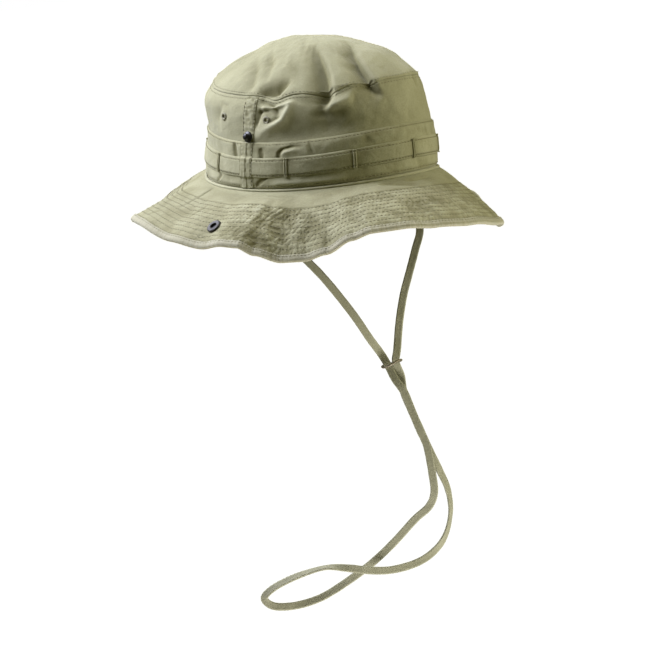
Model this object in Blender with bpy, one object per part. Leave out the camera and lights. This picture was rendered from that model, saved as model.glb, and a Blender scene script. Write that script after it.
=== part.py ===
"""Boonie hat: soft cotton bucket crown, stitched brim with side snaps, foliage band and chin cord."""
import math

import bmesh
import bpy
from mathutils import Matrix, Vector

# ---- sizes, metres. Front of the hat is -Y, the wearer's right is -X, up is +Z ----
A = 0.0965            # outer face of the side panel, half length front to back
B = 0.0805            # outer face of the side panel, half width
H = 0.0735            # side panel height
SADDLE = 0.0095       # front and back of the base seam sit this much above the sides
SHOULDER = 0.012      # how far the side panel leans in by the tip seam
DOME = 0.033          # rise of the tip above its seam
DOME_POWER = 2.3      # higher is flatter on top and steeper by the seam
TIP_LIFT, TIP_INSET = 0.0012, 0.0002
TIP_SIDES, TIP_ROWS = 40, 7
PLY = 0.0011          # one layer of cotton with its interlining
GAP = 0.0003          # air between two pieces that lie on each other
HALF_TURN = 89.8      # degrees that a front or back piece reaches each side of its middle
TAPE = 0.0006         # thickness of the tape inside the tip seam

# bands: heights above the base seam, and degrees round the head
BAND_Z = (0.0016, 0.0368)
FOLIAGE_Z = (0.0099, 0.0252)
FOLIAGE_HALF_TURN = 86.0
FOLIAGE_SLACK = 0.0008       # the foliage band stands this far off the wide band
TACKS = (-149, -113, -69, -35, 0, 35, 69, 113, 149, 180)
TACK_WIDTH, TACK_THICK, TACK_INSET = 0.0022, 0.0007, 0.0006
SEAM_STRIP, SEAM_THICK = 0.012, 0.0009
SWEATBAND_Z = (0.0008, 0.0258)
SWEATBAND_THICK = 0.0010
LABEL_T = (168, 192)
LABEL_Z = (0.004, 0.020)
LABEL_THICK = 0.0005
PIPING_OUT, PIPING_HALF_WIDTH, PIPING_HALF_HEIGHT = 0.0014, 0.0011, 0.0009

# vents and snaps: profiles are (radius, height)
VENT_FRONT_T = 9.5           # degrees from the side seam to the front vent
VENT_BACK_T = 19.5
VENT_Z = 0.0538
VENT_HOLE_R = 0.0024
EYELET = ((0.0016, -0.0016), (0.0016, 0.0008), (0.0024, 0.0013), (0.0036, 0.0009), (0.0037, 0.0003),
          (0.0021, 0.0003), (0.0021, -0.0016))
EYELET_WASHER = ((0.0024, -0.0014), (0.0038, -0.0014), (0.0037, -0.0019), (0.0024, -0.0019))
STUD_Z = 0.0420
STUD_OUT = GAP + SEAM_THICK  # the stud sits on the side seam strip
STUD = ((0, 0.0003), (0.0046, 0.0003), (0.0048, 0.0010), (0.0043, 0.0017), (0.0026, 0.0022),
        (0.0021, 0.0026), (0.0021, 0.0036), (0.0016, 0.0043), (0, 0.0045))
STUD_BACK = ((0, -0.0027), (0.0048, -0.0027), (0.0050, -0.0032), (0.0030, -0.0038), (0, -0.0039))
SOCKET = ((0.0027, 0.0018), (0.0052, 0.0018), (0.0057, 0.0023), (0.0052, 0.0032), (0.0040, 0.0036),
          (0.0029, 0.0032), (0.0027, 0.0026))
SOCKET_CAP = ((0, -0.0019), (0.0052, -0.0019), (0.0055, -0.0024), (0.0040, -0.0032), (0, -0.0035))
SLIDER = ((0.0073, -0.0008), (0.0086, -0.0008), (0.0089, 0), (0.0086, 0.0008), (0.0073, 0.0008))

# brim: distances are along the cloth from the base seam
BRIM_W = 0.0665
BRIM_START = 0.0015
BRIM_S0 = 0.0022             # brim cloth starts this far out of the panel
BRIM_DROP = 0.0016           # and this far below the base seam
BRIM_CURL = 30.0             # degrees the brim turns down between seam and edge
SOCKET_S = 0.0455
BINDING, BINDING_THICK = 0.0048, 0.0007
FOLD_X = 0.0856              # fold line of each side flap, parallel to Y
FOLD_Z = {-1: -0.0006, 1: 0.0009}    # its height on the right (-1) and left (1): the top of the cloth
FOLD_GAP = 0.0006

# droop of the brim below level, degrees, round the head: 0 is the front, -90 the wearer's right
DROOP = ((-180, 25), (-165, 32), (-150, 33), (-140, 27), (-130, 22), (-122, 22), (-103, 30), (-90, 34),
         (-82, 31), (-76, 32), (-71, 39), (-63, 47), (-55, 47), (-48, 42), (-40, 32), (-34, 28),
         (-24, 28), (-14, 31), (0, 34), (20, 40), (40, 47), (54, 47), (64, 38), (76, 28), (90, 22),
         (110, 17), (135, 16), (160, 18), (180, 25))

CORD_R = 0.003
# chin cord, millimetres: from inside the right of the crown, down through the slider, round the loop
# and back up to the left
CORD_ROUTE = (
    (-73, 0, 13), (-73, 0, 4), (-73, 0, -5), (-71.5, -4, -19), (-65, -13.5, -38), (-52, -26.5, -56.5),
    (-39, -35, -74.5), (-19, -42.5, -103), (-1.5, -43.5, -126), (13.5, -40, -140),
    (15.5, -45.5, -149.5), (16.5, -51.5, -160.5), (19, -58, -170.5), (21.5, -63, -185.5),
    (23.5, -68.5, -200.5), (25.5, -73.5, -213.5), (24.5, -78.5, -235), (24, -80, -250),
    (21.5, -76, -261), (14, -67, -271), (3, -54.5, -288), (-8, -43, -302), (-19.5, -32.5, -313),
    (-36, -19.5, -325), (-47.5, -11, -330.5), (-60, 0, -333.5), (-71, 10, -332.5),
    (-76, 15, -326), (-72, 10.5, -319), (-63, 1.5, -312.5), (-52, -10, -307),
    (-41, -23, -303.5), (-28.5, -36, -305.5), (-18, -46.5, -308), (-4, -57, -309),
    (12.5, -68, -305.5), (26, -75, -298), (35.5, -79.5, -286), (40.5, -81.5, -268),
    (40.5, -79.5, -250), (36, -75.5, -234), (30.5, -69, -214), (28.5, -64, -201), (26, -58.5, -186.5),
    (23.5, -53.5, -171.5), (23, -52, -159), (20, -50, -147.5), (24.5, -48, -138), (32, -45, -117.5),
    (41.5, -42, -98.5), (48.5, -41.5, -85), (60.5, -39.5, -65.5), (69.5, -37.5, -49.5), (72, -27, -36),
    (73, -12, -20), (73, -1, -7), (73, 0, 4), (73, 0, 13))
CORD_POINTS = 80
RING_POS = (0.0179, -0.0476, -0.1486)
RING_AXIS = (0.146, -0.334, -0.931)
CORD_END_X = 0.0730
TAB_Z = (0.0055, 0.0135)
TAB_THICK, TAB_FOOT = 0.0010, 0.0075


# ---- small helpers ----
def clear_scene():
    for obj in list(bpy.data.objects):
        bpy.data.objects.remove(obj, do_unlink=True)


def material(name, color, rough=0.9, metal=0.0):
    mat = bpy.data.materials.get(name)
    if mat is None:
        mat = bpy.data.materials.new(name)
        mat.use_nodes = True
        bsdf = mat.node_tree.nodes["Principled BSDF"]
        bsdf.inputs["Base Color"].default_value = (*color, 1.0)
        bsdf.inputs["Roughness"].default_value = rough
        bsdf.inputs["Metallic"].default_value = metal
        mat.diffuse_color = (*color, 1.0)
    return mat


CLOTH = (0.42, 0.40, 0.27)
THREAD = (0.46, 0.44, 0.31)
BLACK = (0.02, 0.02, 0.02)
GUNMETAL = (0.20, 0.20, 0.19)


def new_object(name, bm, mat, origin=(0, 0, 0)):
    """Weld a bmesh, turn its faces outwards and make it one object with its origin where asked."""
    bmesh.ops.remove_doubles(bm, verts=bm.verts, dist=0.000004)
    bmesh.ops.recalc_face_normals(bm, faces=bm.faces)
    mesh = bpy.data.meshes.new(name)
    bm.to_mesh(mesh)
    bm.free()
    origin = Vector(origin)
    mesh.transform(Matrix.Translation(-origin))
    obj = bpy.data.objects.new(name, mesh)
    obj.location = origin
    mesh.materials.append(mat)
    bpy.context.scene.collection.objects.link(obj)
    return obj


def skin(name, front, back, nu, nv, mat, ring=False, origin=(0, 0, 0)):
    """A cloth layer between two surfaces of u and v from 0 to 1, front and back, closed at its edges."""
    bm = bmesh.new()
    cols = nu if ring else nu + 1
    grids = []
    for f in (front, back):
        grids.append([[bm.verts.new(f(i / nu, j / nv)) for j in range(nv + 1)] for i in range(cols)])
    for i in range(nu):
        k = (i + 1) % cols
        for j in range(nv):
            for g in grids:
                bm.faces.new((g[i][j], g[k][j], g[k][j + 1], g[i][j + 1]))
        for j in (0, nv):
            bm.faces.new((grids[0][i][j], grids[0][k][j], grids[1][k][j], grids[1][i][j]))
    if not ring:
        for i in (0, nu):
            for j in range(nv):
                bm.faces.new((grids[0][i][j], grids[0][i][j + 1], grids[1][i][j + 1], grids[1][i][j]))
    return new_object(name, bm, mat, origin)


def sweep(name, section, stations, mat, ring=False, origin=(0, 0, 0)):
    """A closed cross-section carried along stations; section(station) gives its points in order."""
    bm = bmesh.new()
    loops = [[bm.verts.new(p) for p in section(s)] for s in stations]
    n = len(loops[0])
    for i in range(len(loops) if ring else len(loops) - 1):
        a, b = loops[i], loops[(i + 1) % len(loops)]
        for j in range(n):
            bm.faces.new((a[j], a[(j + 1) % n], b[(j + 1) % n], b[j]))
    if not ring:
        bm.faces.new(loops[0])
        bm.faces.new(loops[-1])
    return new_object(name, bm, mat, origin)


def turned(name, profile, centre, normal, mat, steps=20, origin=None):
    """A part of revolution: profile is a closed list of (radius, height) with heights along normal."""
    n = Vector(normal).normalized()
    u = n.orthogonal().normalized()
    w = n.cross(u)
    bm = bmesh.new()
    rings = []
    for r, h in profile:
        if r < 1e-7:
            rings.append([bm.verts.new(Vector(centre) + n * h)])
        else:
            angles = [2 * math.pi * k / steps for k in range(steps)]
            rings.append([bm.verts.new(Vector(centre) + n * h + (u * math.cos(a) + w * math.sin(a)) * r)
                          for a in angles])
    closed = len(rings[0]) > 1 and len(rings[-1]) > 1
    pairs = list(zip(rings, rings[1:])) + ([(rings[-1], rings[0])] if closed else [])
    for a, b in pairs:
        for k in range(steps):
            m = (k + 1) % steps
            pts = [a[k % len(a)], a[m % len(a)], b[m % len(b)], b[k % len(b)]]
            pts = [p for i, p in enumerate(pts) if p not in pts[:i]]
            if len(pts) > 2:
                bm.faces.new(pts)
    return new_object(name, bm, mat, centre if origin is None else origin)


def punch(obj, holes):
    """Cut round holes (centre, normal, radius) right through a layer."""
    for k, (centre, normal, radius) in enumerate(holes):
        cutter = turned(f"{obj.name}_cut{k}", ((0, -0.006), (radius, -0.006), (radius, 0.006), (0, 0.006)),
                        centre, normal, material("cutter", BLACK), steps=16)
        cutter.hide_render = True
        cutter.display_type = "WIRE"
        mod = obj.modifiers.new(f"hole{k}", "BOOLEAN")
        mod.operation = "DIFFERENCE"
        mod.solver = "EXACT"
        mod.object = cutter


# ---- shape of the crown and the brim ----
def oval(t, out=0.0):
    """Point on the head oval at angle t, pushed out square to it, and the outward direction."""
    t = math.radians(t)
    n = Vector((A * math.sin(t), -B * math.cos(t), 0)).normalized()
    return Vector((B * math.sin(t), -A * math.cos(t), 0)) + n * out, n


def rise(t):
    return SADDLE * math.cos(math.radians(t)) ** 2


def lean(z):
    return SHOULDER * (max(z, 0.0) / H) ** 2.5


def crown(t, z, out=0.0):
    """Point beside the side panel at height z above the base seam, out metres off its outer face."""
    p, _ = oval(t, out - lean(z))
    return Vector((p.x, p.y, z + rise(t)))


def crown_normal(t, z):
    du = crown(t + 1, z) - crown(t - 1, z)
    dv = crown(t, z + 0.002) - crown(t, z - 0.002)
    return du.cross(dv).normalized()


def droop(t):
    t = (t + 180) % 360 - 180
    for (t0, d0), (t1, d1) in zip(DROOP, DROOP[1:]):
        if t0 <= t <= t1:
            f = (t - t0) / (t1 - t0)
            return d0 + (d1 - d0) * f * f * (3 - 2 * f)
    return DROOP[0][1]


def brim(t, s, off=0.0):
    """Point on the brim at angle t, s metres of cloth from the base seam, off metres above its middle."""
    g0 = math.radians(droop(t) - BRIM_CURL / 2)
    k = math.radians(BRIM_CURL) / BRIM_W
    g = g0 + k * s
    across = (math.sin(g) - math.sin(g0)) / k
    down = (math.cos(g0) - math.cos(g)) / k
    p, n = oval(t, BRIM_S0 + across + off * math.sin(g))
    return Vector((p.x, p.y, rise(t) - BRIM_DROP - down + off * math.cos(g)))


def brim_normal(t, s):
    du = brim(t + 1, s) - brim(t - 1, s)
    dv = brim(t, s + 0.002) - brim(t, s - 0.002)
    n = du.cross(dv).normalized()
    return n if n.z > 0 else -n


def fold_s(t, x):
    """Cloth distance at which the brim reaches x metres from the middle plane, or None."""
    lo, hi = 0.0, BRIM_W
    if abs(brim(t, hi).x) < x:
        return None
    if abs(brim(t, lo).x) > x:
        return lo
    for _ in range(30):
        mid = (lo + hi) / 2
        lo, hi = (mid, hi) if abs(brim(t, mid).x) < x else (lo, mid)
    return hi


# ---- crown ----
def tip_point(r, t, top):
    """Point on the tip, r from 0 in the middle to 1 at its seam."""
    z = H + TIP_LIFT + rise(t) * r * r + DOME * (1 - r ** DOME_POWER)
    x = (B - SHOULDER - TIP_INSET) * math.sin(math.radians(t)) * r
    y = -(A - SHOULDER) * (B - SHOULDER - TIP_INSET) / (B - SHOULDER) * math.cos(math.radians(t)) * r
    return Vector((x, y, z + (PLY if top else 0)))


def build_tip():
    bm = bmesh.new()
    layers = []
    for top in (True, False):
        middle = [bm.verts.new(tip_point(0, 0, top))]
        rings = [[bm.verts.new(tip_point(j / TIP_ROWS, 360 * i / TIP_SIDES, top)) for i in range(TIP_SIDES)]
                 for j in range(1, TIP_ROWS + 1)]
        layers.append([middle] + rings)
    for i in range(TIP_SIDES):
        k = (i + 1) % TIP_SIDES
        for g in layers:
            bm.faces.new((g[0][0], g[1][i], g[1][k]))
            for j in range(1, TIP_ROWS):
                bm.faces.new((g[j][i], g[j + 1][i], g[j + 1][k], g[j][k]))
        bm.faces.new((layers[0][-1][i], layers[0][-1][k], layers[1][-1][k], layers[1][-1][i]))
    new_object("crown_tip", bm, CLOTH_MAT)


def patch(name, turn, heights, inner, outer, nu, nv, mat, ring=False):
    """A cloth layer round the crown, turn and heights its limits, inner and outer off the panel."""
    (t0, t1), (z0, z1) = turn, heights

    def face(out):
        return lambda u, v: crown(t0 + (t1 - t0) * u, z0 + (z1 - z0) * v, out)
    return skin(name, face(outer), face(inner), nu, nv, mat, ring)


def build_crown():
    build_tip()
    for name, mid in (("front", 0), ("back", 180)):
        turn = (mid - HALF_TURN, mid + HALF_TURN)
        side = patch(f"side_panel_{name}", turn, (0, H), -PLY, 0, 24, 7, CLOTH_MAT)
        vents = [s * vent_angle(name) for s in (-1, 1)]
        punch(side, [(crown(t, VENT_Z), crown_normal(t, VENT_Z), VENT_HOLE_R) for t in vents])
    wall = -PLY - GAP
    patch("tip_seam_tape", (0, 360), (H - 0.008, H - 0.0002), wall - TAPE, wall, 48, 1, TAPE_MAT, ring=True)


def vent_angle(end):
    return 90 - VENT_FRONT_T if end == "front" else 90 + VENT_BACK_T


def build_bands():
    low, high = FOLIAGE_Z
    foliage_in = GAP + PLY + FOLIAGE_SLACK
    tack_in = foliage_in + PLY + GAP
    for name, mid in (("front", 0), ("back", 180)):
        turn = (mid - HALF_TURN, mid + HALF_TURN)
        patch(f"hat_band_{name}", turn, BAND_Z, GAP, GAP + PLY, 24, 2, CLOTH_MAT)
        turn = (mid - FOLIAGE_HALF_TURN, mid + FOLIAGE_HALF_TURN)
        patch(f"foliage_band_{name}", turn, FOLIAGE_Z, foliage_in, foliage_in + PLY, 22, 2, CLOTH_MAT)
    half = math.degrees(TACK_WIDTH / 2 / A)
    for k, t in enumerate(TACKS):
        patch(f"bar_tack_{k + 1:02d}", (t - half, t + half), (low + TACK_INSET, high - TACK_INSET),
              tack_in, tack_in + TACK_THICK, 1, 2, THREAD_MAT)
    # felled side seams: a narrow strip over the joint between front and back pieces
    half = math.degrees(SEAM_STRIP / 2 / A)
    panel_heights = (BAND_Z[1] + 0.0004, H - 0.001)
    band_heights = (BAND_Z[0] + 0.0006, BAND_Z[1] - 0.0006)
    over_band = PLY + 2 * GAP
    for name, t in (("right", -90), ("left", 90)):
        turn = (t - half, t + half)
        patch(f"side_seam_{name}", turn, panel_heights, GAP, GAP + SEAM_THICK, 3, 4, CLOTH_MAT)
        patch(f"band_seam_{name}", turn, band_heights, over_band, over_band + SEAM_THICK, 3, 3, CLOTH_MAT)


def build_inside():
    wall = -PLY - GAP
    patch("sweatband", (0, 360), SWEATBAND_Z, wall - SWEATBAND_THICK, wall, 48, 2, CLOTH_MAT, ring=True)
    wall -= SWEATBAND_THICK + GAP
    patch("care_label", LABEL_T, LABEL_Z, wall - LABEL_THICK, wall, 4, 1, TAPE_MAT)

    def section(t):
        ring = []
        for k in range(6):
            a = math.radians(30 + 60 * k)
            up = 0.0002 + PIPING_HALF_HEIGHT * math.sin(a)
            ring.append(crown(t, up, PIPING_OUT + PIPING_HALF_WIDTH * math.cos(a)))
        return ring
    sweep("base_piping", section, [7.5 * k for k in range(48)], CLOTH_MAT, ring=True)


# ---- snaps and vents ----
def build_hardware():
    for side, s in (("right", -1), ("left", 1)):
        for end in ("front", "back"):
            t = s * vent_angle(end)
            c, n = crown(t, VENT_Z), crown_normal(t, VENT_Z)
            turned(f"vent_{side}_{end}", EYELET, c, n, EYELET_MAT, 12)
            turned(f"vent_washer_{side}_{end}", EYELET_WASHER, c, n, EYELET_MAT, 12)
        c, n = crown(s * 90, STUD_Z, STUD_OUT), crown_normal(s * 90, STUD_Z)
        turned(f"crown_stud_{side}", STUD, c, n, SNAP_BLACK_MAT, 16)
        turned(f"stud_back_{side}", STUD_BACK, c, n, SNAP_BLACK_MAT, 16)
        c, n = brim(s * 90, SOCKET_S), brim_normal(s * 90, SOCKET_S)
        axis = (s * FOLD_X, 0, FOLD_Z[s])
        turned(f"brim_socket_{side}", SOCKET, c, n, SNAP_GREY_MAT, 20, origin=axis)
        turned(f"brim_cap_{side}", SOCKET_CAP, c, n, SNAP_BLACK_MAT, 20, origin=axis)


# ---- brim: root pieces front and back, side flaps outside the fold lines ----
def whole_brim(t):
    return BRIM_W


def brim_start(t):
    return BRIM_START


def root_edge(t):
    """Outer edge of a root piece: the fold line, or the brim's edge where the fold line doesn't reach."""
    f = fold_s(t, FOLD_X - FOLD_GAP)
    return BRIM_W if f is None else min(BRIM_W, f)


def flap_edge(t):
    """Inner edge of a side flap."""
    return fold_s(t, FOLD_X + FOLD_GAP)


def reach(mid, half, inner, outer, least):
    """First and last whole degree from mid where a piece is wider than least."""
    angles = [mid + t for t in range(-half, half + 1)]
    angles = [t for t in angles if inner(t) is not None and outer(t) - inner(t) > least]
    return angles[0], angles[-1]


def brim_layers(name, mid, half, inner, outer, least, n, origin):
    """Upper and under cloth of one brim piece, and the binding where its rim is the brim's own edge."""
    t0, t1 = reach(mid, half, inner, outer, least)

    def layer(off):
        def at(u, v):
            t = t0 + (t1 - t0) * u
            a, b = inner(t), outer(t) - FOLD_GAP
            return brim(t, a + (b - a) * v, off)
        return at
    half_gap = GAP / 2
    skin(f"brim_upper_{name}", layer(half_gap + PLY), layer(half_gap), n, 5, CLOTH_MAT, origin=origin)
    skin(f"brim_under_{name}", layer(-half_gap), layer(-half_gap - PLY), n, 5, CLOTH_MAT, origin=origin)

    stations = [t0 + (t1 - t0) * k / n for k in range(n + 1)]
    stations = [t for t in stations if outer(t) >= BRIM_W - 1e-6 and outer(t) - inner(t) > BINDING + 0.002]
    top = half_gap + PLY + GAP
    shell = top + BINDING_THICK
    profile = ((-BINDING, top), (-0.0001, top), (-0.0001, -top), (-BINDING, -top), (-BINDING, -shell),
               (0, -shell), (0.0010, 0), (0, shell), (-BINDING, shell))

    def section(t):
        return [brim(t, BRIM_W + along, off) for along, off in profile]
    sweep(f"brim_binding_{name}", section, stations, CLOTH_MAT, origin=origin)


def build_brim():
    for name, mid in (("front", 0), ("back", 180)):
        brim_layers(name, mid, 88, brim_start, root_edge, 0.004, 34, (0, 0, 0))
    for name, s in (("flap_right", -1), ("flap_left", 1)):
        brim_layers(name, s * 90, 70, flap_edge, whole_brim, 0.005, 24, (s * FOLD_X, 0, FOLD_Z[s]))


# ---- chin cord and its slider ----
def smooth_path(points, count):
    """A smooth curve through the points (Catmull-Rom), read at equal spacing."""
    pts = [Vector(p) for p in points]
    pts = [pts[0] * 2 - pts[1]] + pts + [pts[-1] * 2 - pts[-2]]
    dense = []
    for i in range(1, len(pts) - 2):
        p0, p1, p2, p3 = pts[i - 1:i + 3]
        for k in range(16):
            f = k / 16
            square = 2 * p0 - 5 * p1 + 4 * p2 - p3
            cube = 3 * p1 - p0 - 3 * p2 + p3
            dense.append(0.5 * (2 * p1 + (p2 - p0) * f + square * f ** 2 + cube * f ** 3))
    dense.append(pts[-2])
    lengths = [0.0]
    for a, b in zip(dense, dense[1:]):
        lengths.append(lengths[-1] + (b - a).length)
    out, j = [], 0
    for k in range(count):
        want = lengths[-1] * k / (count - 1)
        while j < len(dense) - 2 and lengths[j + 1] < want:
            j += 1
        f = (want - lengths[j]) / max(lengths[j + 1] - lengths[j], 1e-9)
        out.append(dense[j].lerp(dense[j + 1], min(max(f, 0), 1)))
    return out


def build_cord():
    curve = bpy.data.curves.new("chin_cord", "CURVE")
    curve.dimensions = "3D"
    curve.bevel_depth = CORD_R
    curve.bevel_resolution = 2
    curve.use_fill_caps = True
    path = smooth_path([[c / 1000 for c in p] for p in CORD_ROUTE], CORD_POINTS)
    spline = curve.splines.new("POLY")
    spline.points.add(len(path) - 1)
    for point, p in zip(spline.points, path):
        point.co = (*p, 1)
    obj = bpy.data.objects.new("chin_cord", curve)
    curve.materials.append(CLOTH_MAT)
    bpy.context.scene.collection.objects.link(obj)

    turned("cord_slider", SLIDER, RING_POS, RING_AXIS, SLIDER_MAT, 20)
    for name, s in (("right", -1), ("left", 1)):
        build_cord_tab(name, s)


def build_cord_tab(name, s):
    """The small arched tab, sewn inside the crown, that holds one end of the cord."""
    x = s * CORD_END_X
    wall = s * (B - 2 * (PLY + GAP) - SWEATBAND_THICK + 0.0003)
    face = wall - s * TAB_THICK
    inner = CORD_R + GAP
    outer = inner + TAB_THICK
    angles = [math.radians(a) for a in (90, 60, 30, 0, -30, -60, -90)]
    outline = [(wall, TAB_FOOT), (face, TAB_FOOT), (face, outer)]
    outline += [(x - s * outer * math.cos(a), outer * math.sin(a)) for a in angles]
    outline += [(face, -outer), (face, -TAB_FOOT), (wall, -TAB_FOOT), (wall, -inner)]
    outline += [(x - s * inner * math.cos(a), inner * math.sin(a)) for a in reversed(angles)]
    outline += [(wall, inner)]

    def section(z):
        return [(px, py, z) for px, py in outline]
    sweep(f"cord_tab_{name}", section, TAB_Z, CLOTH_MAT)


clear_scene()
CLOTH_MAT = material("cotton", CLOTH)
TAPE_MAT = material("tape", (0.50, 0.48, 0.36))
THREAD_MAT = material("thread", THREAD)
EYELET_MAT = material("painted_eyelet", (0.36, 0.34, 0.22), 0.5, 0.3)
SNAP_BLACK_MAT = material("black_snap", BLACK, 0.25, 0.6)
SNAP_GREY_MAT = material("gunmetal_snap", GUNMETAL, 0.35, 0.9)
SLIDER_MAT = material("slider_bronze", (0.16, 0.13, 0.09), 0.45, 0.5)
build_crown()
build_bands()
build_inside()
build_hardware()
build_brim()
build_cord()
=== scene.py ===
"""Boonie hat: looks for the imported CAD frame. Metres; front is -Y, the wearer's right is -X, +Z is up.

Angles t run round the head in degrees: 0 is the front, -90 the wearer's right, 90 the left, 180 the back.
v and z are metres up the side panel (v goes on over the tip), s is metres of brim out from the base seam.
"""
import math

import bmesh
import bpy
import numpy as np
from mathutils import Matrix, Vector


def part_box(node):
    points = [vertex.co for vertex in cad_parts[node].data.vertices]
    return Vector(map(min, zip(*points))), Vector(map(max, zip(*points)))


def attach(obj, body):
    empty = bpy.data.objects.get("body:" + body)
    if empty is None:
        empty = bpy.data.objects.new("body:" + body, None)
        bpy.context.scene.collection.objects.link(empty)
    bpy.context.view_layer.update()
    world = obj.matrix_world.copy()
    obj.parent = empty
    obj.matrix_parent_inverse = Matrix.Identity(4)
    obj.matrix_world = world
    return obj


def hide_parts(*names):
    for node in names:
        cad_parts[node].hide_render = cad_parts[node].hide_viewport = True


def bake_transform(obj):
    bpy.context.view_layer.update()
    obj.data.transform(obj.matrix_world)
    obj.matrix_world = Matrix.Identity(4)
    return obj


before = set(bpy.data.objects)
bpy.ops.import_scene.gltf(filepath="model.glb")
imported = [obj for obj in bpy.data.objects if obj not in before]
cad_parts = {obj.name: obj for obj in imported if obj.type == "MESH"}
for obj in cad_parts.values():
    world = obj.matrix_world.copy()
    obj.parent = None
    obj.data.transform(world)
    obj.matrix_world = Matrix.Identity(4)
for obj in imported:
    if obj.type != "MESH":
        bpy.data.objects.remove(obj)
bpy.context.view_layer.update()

# ---- sizes shared with the CAD source ----
A, B, H = 0.0965, 0.0805, 0.0735       # side panel: half length, half width, height
SADDLE, SHOULDER = 0.0095, 0.012       # rise of the base seam at front and back; how far the panel leans in
TIP_REACH = 0.085                      # tip seam to the middle of the tip, along the cloth
PLY = 0.0011                           # thickness of the crown cloth
BAND_Z = (0.0016, 0.0368)              # foot and top of the wide band
FOLIAGE_Z = (0.0099, 0.0252)           # foot and top of the foliage band
TACKS = (-149, -113, -69, -35, 0, 35, 69, 113, 149, 180)
VENT_T = {"front": 80.5, "back": 109.5}
VENT_Z = 0.0538
STUD_Z = 0.0420
BRIM_W, BRIM_S0, BRIM_CURL = 0.0665, 0.0022, 30.0
SOCKET_S = 0.0455
DROOP = (                              # (angle round the head, degrees that the brim points down)
    (-180, 25), (-165, 32), (-150, 33), (-140, 27), (-130, 22), (-122, 22), (-103, 30), (-90, 34), (-82, 31),
    (-76, 32), (-71, 39), (-63, 47), (-55, 47), (-48, 42), (-40, 32), (-34, 28), (-24, 28), (-14, 31),
    (0, 34), (20, 40), (40, 47), (54, 47), (64, 38), (76, 28), (90, 22), (110, 17), (135, 16), (160, 18),
    (180, 25))
CORD_WIDTH, CORD_THICK, CORD_LENGTH = 0.0062, 0.0019, 0.98
CORD_ROUTE = (                         # millimetres
    (-73, 0, 13), (-73, 0, 4), (-73, 0, -5), (-71.5, -4, -19), (-65, -13.5, -38), (-52, -26.5, -56.5),
    (-39, -35, -74.5), (-19, -42.5, -103), (-1.5, -43.5, -126), (13.5, -40, -140), (15.5, -45.5, -149.5),
    (16.5, -51.5, -160.5), (19, -58, -170.5), (21.5, -63, -185.5), (23.5, -68.5, -200.5),
    (25.5, -73.5, -213.5), (24.5, -78.5, -235), (24, -80, -250), (21.5, -76, -261), (14, -67, -271),
    (3, -54.5, -288), (-8, -43, -302),
    (-19.5, -32.5, -313), (-36, -19.5, -325), (-47.5, -11, -330.5), (-60, 0, -333.5), (-71, 10, -332.5),
    (-76, 15, -326), (-72, 10.5, -319), (-63, 1.5, -312.5), (-52, -10, -307), (-41, -23, -303.5),
    (-28.5, -36, -305.5), (-18, -46.5, -308), (-4, -57, -309), (12.5, -68, -305.5), (26, -75, -298),
    (35.5, -79.5, -286), (40.5, -81.5, -268), (40.5, -79.5, -250), (36, -75.5, -234), (30.5, -69, -214),
    (28.5, -64, -201), (26, -58.5, -186.5), (23.5, -53.5, -171.5), (23, -52, -159), (20, -50, -147.5),
    (24.5, -48, -138), (32, -45, -117.5), (41.5, -42, -98.5), (48.5, -41.5, -85), (60.5, -39.5, -65.5),
    (69.5, -37.5, -49.5), (72, -27, -36), (73, -12, -20), (73, -1, -7), (73, 0, 4), (73, 0, 13))
DISC_POS = (0.0179, -0.0476, -0.1486)
DISC_AXIS = (0.146, -0.334, -0.931)

# ---- the worn shape that only the looks carry ----
DOME = 0.037                           # height of the tip over its seam, 4 mm fuller than the CAD solid
SEAM_T = 91.2                          # side seams sit just behind the middle of each side
ROOT_SAGS = ((-8, 48, 0.0024), (-142, 30, 0.0028))   # base seam: (angle, half width in degrees, metres)
BRIM_LIFTS = ((-78, 34, 1.8), (-16, 34, 3.2))        # brim: (angle, half width in degrees, degrees up)
BRIM_SAGS = ((-146, 32, -3.4), (44, 26, -2.2))       # brim: (angle, half width in degrees, mm off)

# ---- sewing ----
STITCH, STITCH_GAP, THREAD_R = 0.0019, 0.0011, 0.00032
STITCH_FORM = ((0, .35, -.5), (.2, .9, .3), (.5, 1, .6), (.8, .9, .3), (1, .35, -.5))  # share, radius, lift
TACK_R = 0.00062
GROOVE = 0.0006                        # half width of the dent along a row
SEAM_ROW = 0.0021                      # rows each side of the tip seam
SEAM_ROW_U = 0.80                      # rows of the side seam, as a share of its half width
BAND_ROWS = (BAND_Z[0] + 0.0019, BAND_Z[1] - 0.0015)
FOLIAGE_ROWS = (FOLIAGE_Z[0] + 0.0019, FOLIAGE_Z[1] - 0.0021)
ROW_FIRST, ROW_PITCH, ROWS = 0.0205, 0.00445, 10     # rows on the brim
EDGE_ROW = 0.0037                      # row on the binding, in from the brim's edge
# loose mending below the right snap: (from angle, to angle, from, to metres of cloth)
STRAY_STITCHES = ((-94.5, -92.6, 0.0572, 0.0568), (-93.6, -90.6, 0.0586, 0.0566),
                  (-94.8, -93.4, 0.0592, 0.0588))

# ---- camera and light ----
VIEW_AZ, VIEW_EL, VIEW_ROLL = -46.5, 9.5, 3.1
LENS, SENSOR = 250.0, 36.0
METRES_PER_FRAME = 0.784e-3 * 650      # width of the picture at the hat
AIM_RIGHT, AIM_DOWN = 0.0024, 0.1168   # from the head opening to the middle of the picture
LAMP_DISTANCE = 1.6
LAMPS = (                              # name, (right, up, back) from the camera, size, watts, colour
    ("key", (-0.69, 0.73, -0.18), 1.5, 66, (0.94, 0.96, 1.13)),
    ("side_right", (0.88, 0.34, 0.12), 1.2, 22, (1.0, 0.97, 0.80)),
    ("bounce", (0.16, -0.90, 0.46), 0.9, 30, (1.0, 0.98, 1.0)))
FLOOR_Z, FLOOR_HALF = -1.6, 14.0

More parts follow.
